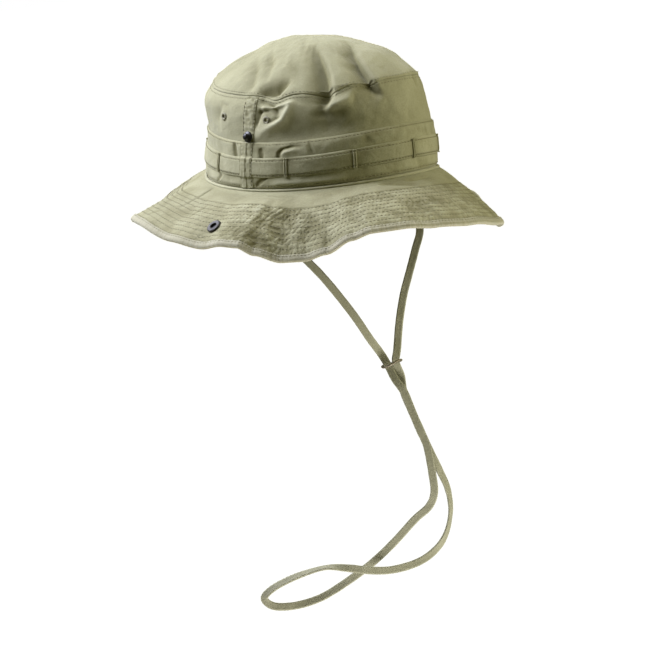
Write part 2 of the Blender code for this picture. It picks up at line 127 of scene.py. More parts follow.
# ---- folds: each is a path of (angle, mm up the cloth, strength), then the depth in mm (a negative one
# stands proud) and how many mm the fold fades over on its left and on its right ----
CROWN_MM, BRIM_MM, BAND_MM = 1.5, 1.8, 1.6           # millimetres to a degree round the head
CROWN_FOLDS = (
    (((-56, 126, 0), (-50, 114, .5), (-47, 99, .9), (-45.5, 84, 1.15), (-46.5, 74, 1.1), (-48, 66, .5),
      (-48.5, 58, 0)), 6.2, 2.4, 14),
    (((-46.5, 76, 0), (-48.5, 67, 1), (-49.5, 60, 1), (-49, 54, .3), (-49, 50, 0)), 3.0, 3.0, 6),
    (((0, 126, 0), (-8, 114, .5), (-17.5, 100, .9), (-20, 85.5, 1.15), (-20.5, 73.5, 1.1), (-18, 66, .5),
      (-15, 60, 0)), 5.2, 2.2, 12),
    (((-20.5, 76, 0), (-19, 69, 1), (-17, 64, .8), (-14, 58, 0)), 1.4, 2.4, 4.5),
    (((-125, 108, 0), (-112, 98, .7), (-103, 91, 1), (-95.5, 80, .8), (-94, 75, 0)), 2.4, 3, 6),
    (((-110, 116, 0), (-99, 105, 1), (-93, 99, 1), (-88, 88, .8), (-86, 82, 0)), 2.4, 3, 6),
    (((-75, 110, 0), (-70, 98, 1), (-66, 88, .8), (-64, 80, 0)), 1.4, 4, 7),
    (((-89, 76, 0), (-84.5, 75.5, .7), (-80, 77, 1), (-76, 79, 1), (-72, 82, .5), (-69, 85, 0)),
     6.4, 4.5, 2.2),
    (((-86, 72, 0), (-84, 70.5, .8), (-77.5, 67, 1), (-74.5, 65.5, 0)), 3.0, 1.8, 2.6),
    (((-86.2, 47, 0), (-86.2, 52, 1), (-85.5, 56, 1), (-84.8, 61, .8), (-83.5, 64, 0)), 2.0, 1.3, 1.6),
    (((-86, 57, 0), (-85, 60, 1), (-81, 61.6, 1), (-78.5, 62, 0)), 1.8, 1.2, 1.5),
    (((-85, 61.5, 0), (-83, 63.5, .9), (-76, 65.6, 1), (-69, 66, .8), (-65, 66, 0)), -2.0, 1.7, 1.6),
    (((-76, 66, 0), (-75.2, 63, 1), (-74.5, 58.5, .8), (-75, 56, 0)), 2.6, 1.8, 1.8),
    (((-80, 52, 0), (-77, 53, 1), (-73.5, 55.5, 1), (-71.5, 57, 0)), 2.2, 1.6, 1.8),
    (((-82, 45, 0), (-76, 50, .7), (-70.5, 53.5, 1), (-68, 59.5, 1), (-67, 66, .8), (-66, 70, 0)),
     -2.4, 3, 3.5),
    (((-64, 68, 0), (-68, 60, .8), (-73, 52, 1), (-82, 45, 1), (-91, 39, 0)), -2.4, 6, 6),
    (((-50, 58.5, 0), (-46, 60, .9), (-41, 62, 1), (-36, 63.5, .9), (-31, 63.5, 0)), -2.4, 4.4, 4.6),
    (((-33.5, 68, 0), (-32.5, 64, 1), (-32.5, 60, .6), (-34, 56, 0)), 1.0, 1.6, 3.0),
    (((-58, 56, 0), (-52, 53.5, .8), (-48, 53, 1), (-42, 55, .7), (-35, 58, 0)), 2.2, 4.0, 7),
    (((17, 78, 0), (18, 72, 1), (19, 67, 1), (18.5, 60, 0)), 1.6, 2.5, 3),
    (((-112, 60, 0), (-114, 57, 1), (-115, 50, .6), (-112, 44, 0)), 1.3, 2, 3),
    (((-116, 66, 0), (-108, 63, 1), (-104, 56, .5), (-104, 50, 0)), 1.0, 3, 3),
    (((38, 118, 0), (41, 100, .8), (44, 84, 1), (46, 70, .8), (44, 56, 0)), 2.2, 9, 4),
    (((70, 124, 0), (73, 104, 1), (75, 88, 1), (74, 72, .7), (78, 60, 0)), 3.6, 3, 10),
    (((112, 112, 0), (109, 96, .8), (106, 82, 1), (108, 68, .8), (112, 56, 0)), 3.0, 8, 3),
    (((146, 120, 0), (144, 102, .8), (141, 86, 1), (143, 72, 1), (146, 60, 0)), 3.8, 3, 10),
    (((182, 118, 0), (179, 100, 1), (177, 84, 1), (178, 70, .6), (176, 58, 0)), 3.2, 9, 3),
    (((212, 112, 0), (214, 96, 1), (211, 82, .8), (212, 68, .6), (209, 56, 0)), 2.0, 4, 8),
)
BRIM_FOLDS = (                         # mm of cloth out from the base seam
    (((-115, 2, 0), (-113.5, 8, 1), (-112, 16, .9), (-112.5, 30, .6), (-113, 38, 0)), 1.3, 1.0, 1.5),
    (((-101, 24, 0), (-101.5, 30, 1), (-103, 38, .6), (-103.5, 43, 0)), .9, .8, 1.3),
    (((-118.5, 46, 0), (-121, 50, 1), (-123, 55, 1), (-123.5, 58, 0)), 1.6, .7, 1.1),
    (((-26, 7, 0), (-22, 9, 1), (-16, 12, 1), (-11, 15, .6), (-8, 18, 0)), 3.0, 1.2, 3.2),
    (((-13, 8, 0), (-8, 8, 1), (0, 8.5, .8), (6, 8, 0)), 1.8, 1.0, 2.6),
    (((-80, 6, 0), (-76, 7.5, .8), (-68, 8, 0)), 1.0, .8, 1.4),
    (((-72, 22, 0), (-70, 30, 1), (-67, 44, 1), (-66, 58, .8), (-65, 66, 0)), 1.1, 3.5, 9),
    (((-79, 20, 0), (-78, 28, 1), (-76.5, 36, .7), (-75, 44, 0)), .7, 1.6, 5),
    (((40, 4, 0), (41, 12, .8), (40, 26, 1), (42, 40, .6), (44, 52, 0)), 1.2, 1.2, 2.4),
    (((52, 18, 0), (50, 28, 1), (52, 42, .8), (54, 56, 0)), 1.3, 1.0, 2.2),
    (((-150, 4, 0), (-149, 16, 1), (-151, 30, .8), (-149, 44, 0)), 1.2, 1.2, 2.4),
    (((95, 5, 0), (97, 16, 1), (95, 30, .8), (97, 48, 0)), 1.4, 1.4, 2.4),
    (((152, 6, 0), (150, 20, 1), (153, 34, .8), (151, 52, 0)), 1.4, 1.4, 2.6),
)
BAND_FOLDS = (
    (((-100.5, 36, 0), (-99.5, 33, .9), (-98.8, 29, 1), (-98.5, 26, 1)), 2.4, 1.2, 2.2),
    (((-83, 33, 0), (-82.5, 30.5, 1), (-82, 27, 1.2), (-82, 25.5, 1)), 2.4, 1.3, 1.7),
    (((-73, 25, 1), (-73, 28.5, 1), (-71, 31.5, .9), (-66, 33, .7), (-60, 32.5, 0)), 2.0, 1.0, 1.6),
    (((-72, 27.5, 0), (-69, 29.5, 1), (-65, 30.5, 1), (-60, 29.5, 0)), -1.2, 2.2, 2.2),
    (((-58, 36, 0), (-57, 33, 1), (-56, 29, 1), (-55, 26, .6)), .8, 1.4, 2.6),
    (((-30, 36, 0), (-28, 31, 1), (-25, 27, .4)), .5, 2, 4),
    (((12, 35, 0), (14, 30, 1), (15, 26, .5)), .6, 1.4, 2.6),
    (((-109, 9, 0), (-111, 7.5, 1), (-114, 4, 1), (-115, 2.5, 0)), 1.0, 1.0, 1.6),
    (((-80, 9.5, .6), (-82, 8, 1), (-84.5, 5, 1), (-86, 2.5, 0)), 2.2, 1.0, 1.7),
    (((-78, 5, 0), (-72, 5.8, 1), (-62, 5.6, 1), (-50, 5.4, .8), (-38, 5.8, 0)), -1.1, 2.6, 2.2),
    (((-20, 9.5, 0), (-18, 6.5, .7), (-14, 4, .4), (-10, 2.5, 0)), .6, 1.0, 2.2),
    (((62, 34, 0), (64, 30, 1), (63, 26, .7)), .9, 1.2, 2.2),
    (((98, 35, 0), (97, 31, 1), (98, 26, 1)), 1.2, 1.0, 1.8),
    (((84, 9.5, 0), (83, 6, 1), (85, 2.5, 0)), 1.1, .9, 1.4),
    (((165, 35, 0), (163, 30, 1), (164, 26, .6)), .9, 1.4, 2.4),
    (((205, 9.5, 0), (207, 6, 1), (206, 2.5, 0)), .9, 1.2, 1.6),
)
# where folds pull the tip seam: (angle, mm up, half width in degrees)
SEAM_DIPS = ((-128, -2.0, 22), (-76, -3.6, 6), (-47.5, -3.4, 8), (-31, 1.6, 7), (-20.5, -1.8, 4),
             (44, -2.5, 5), (75, -3, 7), (107, -2.5, 6), (143, -3.4, 6), (178, -2.6, 7))
# broad bulges and hollows of the crown: (angle, mm up the cloth, mm outwards, half widths in degrees and mm)
BULGES = ((-138, 62, 6.0, 36, 16), (-138, 26, -2.2, 36, 13), (-132, 104, -2.5, 40, 12), (43, 70, 1.5, 34, 12),
          (43, 96, 3.0, 36, 12), (-52, 63, 1.6, 20, 8), (-50, 42, -2.6, 30, 8), (-95, 66, 1.0, 14, 8),
          (150, 66, 3.0, 34, 14), (100, 62, 2.0, 26, 12))
# where the washed brim is crumpled most: (angle, half width in degrees, amount)
CRUMPLES = ((-70, 10, 0.60), (-58, 12, 0.25), (-28, 16, 0.18), (-8, 14, 0.12), (25, 18, 0.2), (75, 20, 0.3),
            (130, 25, 0.3), (178, 16, 0.3))


# =============================== shape functions ===============================
def smooth(x, lo, hi):
    """0 below lo, 1 above hi, and an even S between."""
    f = np.clip((x - lo) / (hi - lo), 0, 1)
    return f * f * (3 - 2 * f)


def hump(x, wide):
    """A bell curve, 1 at x = 0."""
    return np.exp(-(x / wide) ** 2)


def turn_from(t, at):
    """Signed degrees round the head from the angle at to t."""
    return (t - at + 180) % 360 - 180


def oval(t, out=0.0):
    """x, y of the base seam pushed out by out metres, and the outward direction there."""
    a = np.radians(t)
    nx, ny = A * np.sin(a), -B * np.cos(a)
    size = np.hypot(nx, ny)
    nx, ny = nx / size, ny / size
    return B * np.sin(a) + nx * out, -A * np.cos(a) + ny * out, nx, ny


def radial(t):
    """Outward direction at angle t."""
    _, _, nx, ny = oval(t)
    return np.stack([nx, ny, np.zeros_like(nx)], -1)


def rise(t):
    """How far the base seam rises towards the front and the back."""
    return SADDLE * np.cos(np.radians(t)) ** 2


def noise(x, y, period, seed):
    """Smooth noise from about -1 to 1. It repeats every period cells along x, so it closes round the head."""
    angles = np.random.default_rng(seed).uniform(0, 2 * math.pi, (period, 256))
    x, y = np.broadcast_arrays(np.asarray(x, float), np.asarray(y, float))
    ix, iy = np.floor(x).astype(int), np.floor(y).astype(int)
    fx, fy = x - ix, y - iy
    u, v = fx ** 3 * (fx * (fx * 6 - 15) + 10), fy ** 3 * (fy * (fy * 6 - 15) + 10)

    def corner(i, j):
        a = angles[(ix + i) % period, (iy + j) % 256]
        return np.cos(a) * (fx - i) + np.sin(a) * (fy - j)
    low = corner(0, 0) * (1 - u) + corner(1, 0) * u
    high = corner(0, 1) * (1 - u) + corner(1, 1) * u
    return 1.5 * (low * (1 - v) + high * v)


def crease(x, y, path, depth, left, right):
    """A fold depth mm deep along path, points (x, y, strength) in mm, fading over left and right mm."""
    x, y = np.broadcast_arrays(x, y)
    best = np.full(x.shape, 1e9)
    side = np.zeros(x.shape)
    strength = np.zeros(x.shape)
    for (x0, y0, w0), (x1, y1, w1) in zip(path, path[1:]):
        dx, dy = x1 - x0, y1 - y0
        f = np.clip(((x - x0) * dx + (y - y0) * dy) / (dx * dx + dy * dy), 0, 1)
        ex, ey = x - x0 - f * dx, y - y0 - f * dy
        d = np.hypot(ex, ey)
        near = d < best
        best = np.where(near, d, best)
        side = np.where(near, np.sign(dx * ey - dy * ex), side)
        strength = np.where(near, w0 + (w1 - w0) * f, strength)
    width = np.where(side > 0, left, right)
    return -depth * strength * np.exp(-(best / width) ** 1.6)


def folded(t, mm, folds, mm_per_degree, narrowing=lambda mm: 1.0):
    """Millimetres that a table of folds adds. narrowing(mm) is how much shorter a degree is there."""
    total = np.zeros(np.broadcast(t, mm).shape)
    for path, depth, left, right in folds:
        mid = sum(point[0] for point in path) / len(path)
        x = turn_from(t, mid) * mm_per_degree * narrowing(mm)
        local = [((a - mid) * mm_per_degree * narrowing(up), up, weight) for a, up, weight in path]
        total += crease(x, mm, local, depth, left, right)
    return total


def row_groove(z, rows, mm=0.42):
    """The dent that each row of sewing pulls into the cloth, millimetres."""
    return sum(-mm * hump(z - row, GROOVE) for row in rows)


def normals(surface, t, v):
    """Unit normals of a surface function, from points a little to either side."""
    dt, dv = 0.25, 0.0006
    n = np.cross(surface(t + dt, v) - surface(t - dt, v), surface(t, v + dv) - surface(t, v - dv))
    return n / np.maximum(np.linalg.norm(n, axis=-1, keepdims=True), 1e-12)


# ---- crown ----
def worn_shape(t, v):
    """Broad bulges and hollows of the worn crown, metres outwards."""
    total = sum(mm * 1e-3 * hump(turn_from(t, at), wide) * hump(v * 1000 - up, tall)
                for at, up, mm, wide, tall in BULGES)
    return total * smooth(v, 0.0, 0.012)


def seam_shift(t, v):
    """How far the tip seam, and the cloth beside it, is pulled up or down by the folds that cross it."""
    total = -0.0018 + sum(mm * 1e-3 * hump(turn_from(t, at), wide) for at, mm, wide in SEAM_DIPS)
    return total * hump(v - H, 0.009)


def root_drop(t, v):
    """How far the worn base seam sags below its even line."""
    total = sum(drop * hump(turn_from(t, at), wide) for at, wide, drop in ROOT_SAGS)
    return total * (1 - smooth(v, 0.0, FOLIAGE_Z[0]))


def crown_base(t, v):
    """Point at angle t and v metres up the cloth: up the side panel to H, then in over the tip."""
    t, v = np.broadcast_arrays(np.asarray(t, float), np.asarray(v, float))
    bulge = worn_shape(t, v)
    v = v + seam_shift(t, v)
    x, y, _, _ = oval(t, bulge - SHOULDER * (np.clip(v, 0, H) / H) ** 2.5)
    r = np.clip(1 - (v - H) / TIP_REACH, 0, 1)
    a = np.radians(t)
    over = v > H
    tip_x = (B - SHOULDER + bulge) * np.sin(a) * r
    tip_y = -(A - SHOULDER + bulge) * np.cos(a) * r
    tip_z = H + rise(t) * r * r + (DOME + bulge) * (1 - r ** 2.3)
    side_z = np.minimum(v, H) + rise(t) - root_drop(t, v)
    return np.stack([np.where(over, tip_x, x), np.where(over, tip_y, y), np.where(over, tip_z, side_z)], -1)


def tip_narrowing(mm):
    """The tip's radius at mm of cloth, as a share of its radius at the seam."""
    return np.clip(1 - (mm / 1000 - H) / TIP_REACH, 0.02, 1)


def crown_relief(t, v):
    """Metres that the worn cloth stands off the smooth crown."""
    t, v = np.broadcast_arrays(np.asarray(t, float), np.asarray(v, float))
    mm = v * 1000
    fade = np.minimum(1, tip_narrowing(mm) * 3)
    total = folded(t, mm, CROWN_FOLDS, CROWN_MM, tip_narrowing)
    total += 0.9 * noise((t + 180) / 20, mm / 22, 18, 3) * fade
    total += 0.28 * noise((t + 180) / 5, mm / 7, 72, 4) * fade
    total += 0.25 * hump(v - H, 0.0045) * noise((t + 180) / 2.2, mm / 6, 164, 5)
    total += row_groove(v, (H - SEAM_ROW, H, H + SEAM_ROW), 0.22)
    total += 0.20 * hump(v - H - SEAM_ROW / 2, 0.0008)
    return total * 1e-3 * smooth(v, 0.034, 0.041)


def crown(t, v, off=0.0):
    """The worn crown, off metres outside its face."""
    t, v = np.broadcast_arrays(np.asarray(t, float), np.asarray(v, float))
    out = normals(crown_base, t, np.minimum(v, H + TIP_REACH - 0.002))
    return crown_base(t, v) + out * (crown_relief(t, v) + off)[..., None]


def smooth_crown(t, v, off=0.0):
    """The crown without its worn relief."""
    return crown_base(t, v) + normals(crown_base, t, v) * off


def off_panel(t, z, out):
    """Point out metres off the side panel, straight outwards."""
    return crown_base(t, z) + radial(t) * np.asarray(out)[..., None]


def over_panel(thickness):
    """Surface function of a layer on the side panel, for sewing lines; thickness(t, z) is in metres."""
    def at(t, z, off=0.0):
        return off_panel(t, z, thickness(t, z) + off)
    return at


def slack(t, z, seed, lo, hi):
    """Slack in a band between its two sewn edges, millimetres."""
    free = np.sin(math.pi * np.clip((z - lo) / (hi - lo), 0, 1)) ** 0.7
    turn = (t + 180) % 360
    fine = noise(turn / 3.5, z * 1000 / 6, 103, seed + 1)
    return free * (0.45 * noise(turn / 9, z * 1000 / 9, 40, seed) + 0.16 * fine)


def rounded(z, lo, hi, thick):
    """Thickness of a folded edge: full in the middle, rolling to nothing over the last 2.6 mm."""
    d = np.minimum(z - lo, hi - z)
    return thick * np.clip(d / 0.0026, 0.01, 1) ** 0.6


def band_out(t, z):
    """Outer face of the wide band, metres off the panel."""
    mm = slack(t, z, 60, FOLIAGE_Z[1] - 0.001, BAND_Z[1]) + slack(t, z, 70, BAND_Z[0], FOLIAGE_Z[0] + 0.001)
    mm = mm + folded(t, z * 1000, BAND_FOLDS, BAND_MM) + row_groove(z, BAND_ROWS)
    near_edge = hump(np.minimum(z - BAND_Z[0], BAND_Z[1] - z), 0.003)
    mm = mm + 0.10 * noise((t + 180) / 1.4, z * 1000 / 3, 257, 75) * near_edge
    return np.maximum(0.0018 + mm * 1e-3, 0.0004)


def foliage_out(t, z):
    """Outer face of the foliage band: it bellies between bar tacks and gapes at its edges."""
    d = np.min(np.abs(turn_from(t[..., None], np.array(TACKS, float))), -1)
    belly = 0.4 * smooth(d, 0.5, 10)
    pull = 0.25 * hump(d, 1.4)
    loose = 0.5 * slack(t, z, 80, FOLIAGE_Z[0] - 0.004, FOLIAGE_Z[1] + 0.004)
    fine = 0.08 * noise((t + 180) / 1.5, z * 1000 / 3, 240, 85)
    return 0.0028 + (belly - pull + loose + row_groove(z, FOLIAGE_ROWS) + fine) * 1e-3


def over_foliage(z):
    """1 where the foliage band lies under a side seam strip, 0 above and below it."""
    lo, hi = FOLIAGE_Z
    return smooth(z, lo - 0.001, lo + 0.001) * (1 - smooth(z, hi - 0.001, hi + 0.001))


# ---- brim ----
def droop(t):
    """Degrees that the brim points down at angle t."""
    at, deg = np.array(DROOP, float).T
    t = turn_from(np.asarray(t, float), 0)
    k = np.clip(np.searchsorted(at, t, side="right") - 1, 0, len(at) - 2)
    f = (t - at[k]) / (at[k + 1] - at[k])
    return deg[k] + (deg[k + 1] - deg[k]) * f * f * (3 - 2 * f)


def brim_base(t, s):
    """Point in the middle of the brim's thickness, without its worn relief."""
    lifted = sum(up * hump(turn_from(t, at), wide) for at, wide, up in BRIM_LIFTS)
    g0 = np.radians(droop(t) - lifted - BRIM_CURL / 2)
    k = math.radians(BRIM_CURL) / BRIM_W
    g = g0 + k * s
    x, y, _, _ = oval(t, BRIM_S0 + (np.sin(g) - np.sin(g0)) / k)
    return np.stack([x, y, rise(t) - root_drop(t, 0.0) - 0.0016 - (np.cos(g0) - np.cos(g)) / k], -1)


def brim_normals(t, s):
    """Unit normals of the brim, all pointing up."""
    n = normals(brim_base, t, s)
    return n * np.where(n[..., 2:] < 0, -1, 1)


def row_wander(t):
    """How far the washed sewing rows stray, in rows."""
    turn = (t + 180) % 360
    return 0.16 * noise(turn / 5, 0, 72, 11) + 0.10 * noise(turn / 2, 0, 180, 12)


def brim_folds(t, s):
    """Folds and sags that both layers of the brim share, millimetres."""
    free = np.sin(math.pi * np.clip(s / BRIM_W, 0, 1)) ** 1.5
    sags = sum(mm * hump(turn_from(t, at), wide) for at, wide, mm in BRIM_SAGS)
    return sags * free + folded(t, s * 1000, BRIM_FOLDS, BRIM_MM)


def brim_texture(t, s, under=False):
    """Quilting between the rows of sewing, and the washed puckers across them, millimetres."""
    turn = (t + 180) % 360
    p = (s - ROW_FIRST) / ROW_PITCH
    sewn = smooth(p, -0.5, 0.3) * (1 - smooth(p, ROWS - 0.6, ROWS + 0.2))
    p = p + row_wander(t)
    calm_side = 0.55 + 0.45 * smooth(np.abs(turn_from(t, -125)), 15, 45)
    between_rows = np.abs(np.sin(math.pi * p))
    puff = (0.27 * between_rows ** 0.7 - 0.16) * sewn * calm_side
    seed = 40 if under else 20
    amount = 0.38 + sum(extra * hump(turn_from(t, at), wide) for at, wide, extra in CRUMPLES)
    amount = amount * (1 + 0.3 * noise(turn / 12, p / 4, 30, seed + 1)) * calm_side
    cross = noise(turn / 2.2 + 0.25 * p, p * 0.45, 164, seed + 2)
    short = noise(turn / 1.5 - 0.15 * p, p * 0.9, 240, seed + 3)
    lump = noise(turn / 4.5 - 0.2 * p, p * 0.34, 80, seed + 4)
    slant = noise(turn / 7 + 0.55 * p, p * 0.10, 51, seed + 7)
    puckers = 0.12 * short + 0.85 * lump - 0.68 * hump(cross, 0.24) - 0.22 * hump(slant, 0.07)
    total = puff + amount * puckers * (0.5 + 0.5 * between_rows) * sewn
    calm = 0.7 * noise(turn / 12, s / 0.016, 30, seed + 5) + 0.18 * noise(turn / 4, s / 0.006, 90, seed + 6)
    total = total + 0.45 * calm * smooth(s, 0.0, 0.006)
    return total - 0.30 * hump(s - ROW_FIRST + 0.0007, GROOVE)


def brim_relief(t, s, under=False):
    """Metres that the worn cloth stands off the smooth brim; below, the texture faces the other way."""
    edge = smooth(s, BRIM_W - 0.0075, BRIM_W - 0.0015)
    facing = -0.45 if under else 1.0
    return (brim_folds(t, s) + facing * brim_texture(t, s, under)) * 1e-3 * (1 - 0.92 * edge)


def brim(t, s, off=0.0, under=False):
    """The worn brim, off metres above its middle."""
    return brim_base(t, s) + brim_normals(t, s) * (brim_relief(t, s, under) + off)[..., None]


def brim_below(t, s, off=0.0):
    """The brim's under layer, for sewing lines."""
    return brim(t, s, off, under=True)


def smooth_brim(t, s, off=0.0):
    """The brim without its worn relief."""
    return brim_base(t, s) + brim_normals(t, s) * off


def binding_sag(ts):
    """How far the bound edge follows the cloth's relief just inside it."""
    return brim_relief(ts, np.full(ts.shape, BRIM_W - 0.004)) * 0.25


# =============================== mesh building ===============================
def finish_mesh(name, verts, faces, mat, uv=None, wear_and_shade=None):
    """A smooth-shaded object from points and faces, with UVs in metres and a value of rubbed wear and painted
    shade from -1 to 1.
    """
    mesh = bpy.data.meshes.new(name)
    mesh.from_pydata(np.asarray(verts).reshape(-1, 3).tolist(), [], faces)
    mesh.materials.append(mat)
    if uv is not None:
        flat = np.asarray(uv, float).reshape(-1, 2)
        loops = np.zeros(len(mesh.loops), int)
        mesh.loops.foreach_get("vertex_index", loops)
        mesh.uv_layers.new(name="cloth").data.foreach_set("uv", flat[loops].ravel())
    if wear_and_shade is not None:
        layer = mesh.attributes.new("wear_and_shade", "FLOAT", "POINT")
        layer.data.foreach_set("value", np.asarray(wear_and_shade, np.float32).ravel())
    mesh.polygons.foreach_set("use_smooth", [True] * len(mesh.polygons))
    mesh.validate()
    obj = bpy.data.objects.new(name, mesh)
    bpy.context.scene.collection.objects.link(obj)
    return obj


def place(obj, body, slot, *nodes):
    """Joins a piece to a body and hides the CAD nodes it stands for. The slot is not used."""
    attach(obj, body)
    if nodes:
        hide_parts(*nodes)


def grid_faces(nu, nv, ring):
    """Faces of a grid of nu by nv points, its rows running round when ring is true."""
    faces = []
    for i in range(nu if ring else nu - 1):
        k = (i + 1) % nu
        for j in range(nv - 1):
            faces.append((i * nv + j, k * nv + j, k * nv + j + 1, i * nv + j + 1))
    return faces


def cloth_uv(t, z):
    """UVs in metres for a grid on the crown."""
    return np.stack([t * 0.0015, z], -1)


def cloth(name, outer, inner, mat, uv, wear_and_shade=None, ring=False, skip=None):
    """A closed layer of cloth between two grids of points. skip(point) drops the faces of a hole."""
    nu, nv, _ = outer.shape
    count = nu * nv
    faces = grid_faces(nu, nv, ring)
    if skip is not None:
        flat = outer.reshape(-1, 3)
        faces = [f for f in faces if not skip(flat[list(f)].mean(0))]
    back = [tuple(i + count for i in f[::-1]) for f in faces]
    edge = {}
    for f in faces:
        for a, b in zip(f, f[1:] + f[:1]):
            if edge.pop((b, a), None) is None:
                edge[(a, b)] = True
    rim = [(b, a, a + count, b + count) for a, b in edge]
    points = np.concatenate([outer.reshape(-1, 3), inner.reshape(-1, 3)])
    uvs = np.concatenate([np.asarray(uv).reshape(-1, 2)] * 2)
    # The outer face carries rubbed wear and painted shade; the inner face gets neither.
    worn = np.zeros(count) if wear_and_shade is None else np.asarray(wear_and_shade).ravel()
    return finish_mesh(name, points, faces + back + rim, mat, uvs, np.concatenate([worn, worn * 0]))


def tube(name, rings, mat, closed=False, uv_len=None, wear_and_shade=None):
    """A closed-section sweep: rings is (stations, points, 3)."""
    n, m, _ = rings.shape
    faces = []
    for i in range(n if closed else n - 1):
        k = (i + 1) % n
        for j in range(m):
            q = (j + 1) % m
            faces.append((i * m + j, i * m + q, k * m + q, k * m + j))
    if not closed:
        faces += [tuple(range(m))[::-1], tuple((n - 1) * m + j for j in range(m))]
    if uv_len is None:
        step = np.linalg.norm(np.diff(rings.mean(1), axis=0), axis=1)
        uv_len = np.concatenate([[0], np.cumsum(step)])
    around = np.arange(m) / m * np.linalg.norm(rings[0] - np.roll(rings[0], 1, 0), axis=1).sum()
    uv = np.stack(np.broadcast_arrays(uv_len[:, None], around[None, :]), -1)
    return finish_mesh(name, rings, faces, mat, uv, wear_and_shade)


def lathe(name, profile, centre, normal, mat, steps=48, warp=None):
    """A turned part from a profile of (radius, height); warp(radius, angles) adds height."""
    n = Vector(normal).normalized()
    u = Vector((0, 0, 1)).cross(n).normalized()
    w = n.cross(u)
    a = np.linspace(0, 2 * math.pi, steps, endpoint=False)
    verts, rows = [], []
    for r, h in profile:
        angles = a if r > 1e-6 else a[:1]
        extra = warp(r, angles) if warp else np.zeros(len(angles))
        rows.append(list(range(len(verts), len(verts) + len(angles))))
        for q, e in zip(angles, extra):
            verts.append(Vector(centre) + n * (h + e) + (u * math.cos(q) + w * math.sin(q)) * r)
    pairs = list(zip(rows, rows[1:]))
    if len(rows[0]) > 1 and len(rows[-1]) > 1:
        pairs.append((rows[-1], rows[0]))
    faces = []
    for p, q in pairs:
        for k in range(steps):
            m = (k + 1) % steps
            corners = (p[k % len(p)], p[m % len(p)], q[m % len(q)], q[k % len(q)])
            face = tuple(dict.fromkeys(corners))
            if len(face) > 2:
                faces.append(face)
    uv = [(v.x + v.y, v.z) for v in verts]
    return finish_mesh(name, [list(v) for v in verts], faces, mat, uv)


def at_length(want, along, points):
    """The point that lies at the length want along a line of points."""
    return np.array([np.interp(want, along, points[:, k]) for k in range(3)])


def stitches(name, lines, mat):
    """Sewing thread: each line is (points, normals) close together; one small rounded float per stitch."""
    verts, faces = [], []
    ring = [math.radians(a) for a in (20, 90, 160, 250, 290)]
    m, last = len(ring), len(STITCH_FORM) - 1
    for points, out in lines:
        step = np.linalg.norm(np.diff(points, axis=0), axis=1)
        along = np.concatenate([[0], np.cumsum(step)])
        for start in np.arange(STITCH_GAP, along[-1] - STITCH, STITCH + STITCH_GAP):
            n = at_length(start + STITCH / 2, along, out)
            n /= np.linalg.norm(n)
            d = at_length(start + STITCH, along, points) - at_length(start, along, points)
            d /= max(np.linalg.norm(d), 1e-9)
            side = np.cross(n, d)
            base = len(verts)
            for share, radius, lift in STITCH_FORM:
                p = at_length(start + STITCH * share, along, points)
                for a in ring:
                    out_by, aside = lift + radius * math.sin(a), radius * math.cos(a)
                    verts.append(p + THREAD_R * (n * out_by + side * aside))
            for i in range(last):
                row = base + i * m
                for j in range(m):
                    q = (j + 1) % m
                    faces.append((row + j, row + q, row + m + q, row + m + j))
            faces.append(tuple(base + j for j in range(m))[::-1])
            faces.append(tuple(base + last * m + j for j in range(m)))
    return finish_mesh(name, verts, faces, mat)


def row_on(surface, ts, vs, off):
    """A sewing line over a surface function: points and outward directions."""
    ts, vs = np.broadcast_arrays(np.asarray(ts, float), np.asarray(vs, float))
    low, high = surface(ts, vs, off), surface(ts, vs, off + 0.001)
    n = high - low
    return low, n / np.linalg.norm(n, axis=-1, keepdims=True)


def flipped(line):
    """A sewing line seen from the other side of the cloth."""
    return line[0], -line[1]


# =============================== materials ===============================
def fill(tree, node, inputs):
    """Links each input of a shader node whose value is a socket, and sets the others."""
    for key, value in inputs.items():
        if isinstance(value, bpy.types.NodeSocket):
            tree.links.new(value, node.inputs[key])
        else:
            node.inputs[key].default_value = value


def add(tree, kind, output, inputs=None, **settings):
    """Adds a shader node with its settings and inputs, and gives back one of its outputs."""
    node = tree.nodes.new("ShaderNode" + kind)
    for key, value in settings.items():
        setattr(node, key, value)
    fill(tree, node, inputs or {})
    return node.outputs[output]


def ramp(tree, value, *stops):
    """A colour ramp through (position, colour) stops, lowest first."""
    color = add(tree, "ValToRGB", "Color", {"Fac": value})
    elements = color.node.color_ramp.elements
    while len(elements) < len(stops):
        elements.new(0.5)
    for element, (position, shade) in zip(elements, stops):
        element.position = position
        element.color = (*shade, 1)
    return color


def multiply(tree, one, two):
    """One colour times another."""
    inputs = {"Factor": 1.0, 6: one, 7: two}
    return add(tree, "Mix", 2, inputs, data_type="RGBA", blend_type="MULTIPLY")


def shader(name):
    """A new material, its node tree and its surface node."""
    mat = bpy.data.materials.new(name)
    mat.use_nodes = True
    return mat, mat.node_tree, mat.node_tree.nodes["Principled BSDF"]


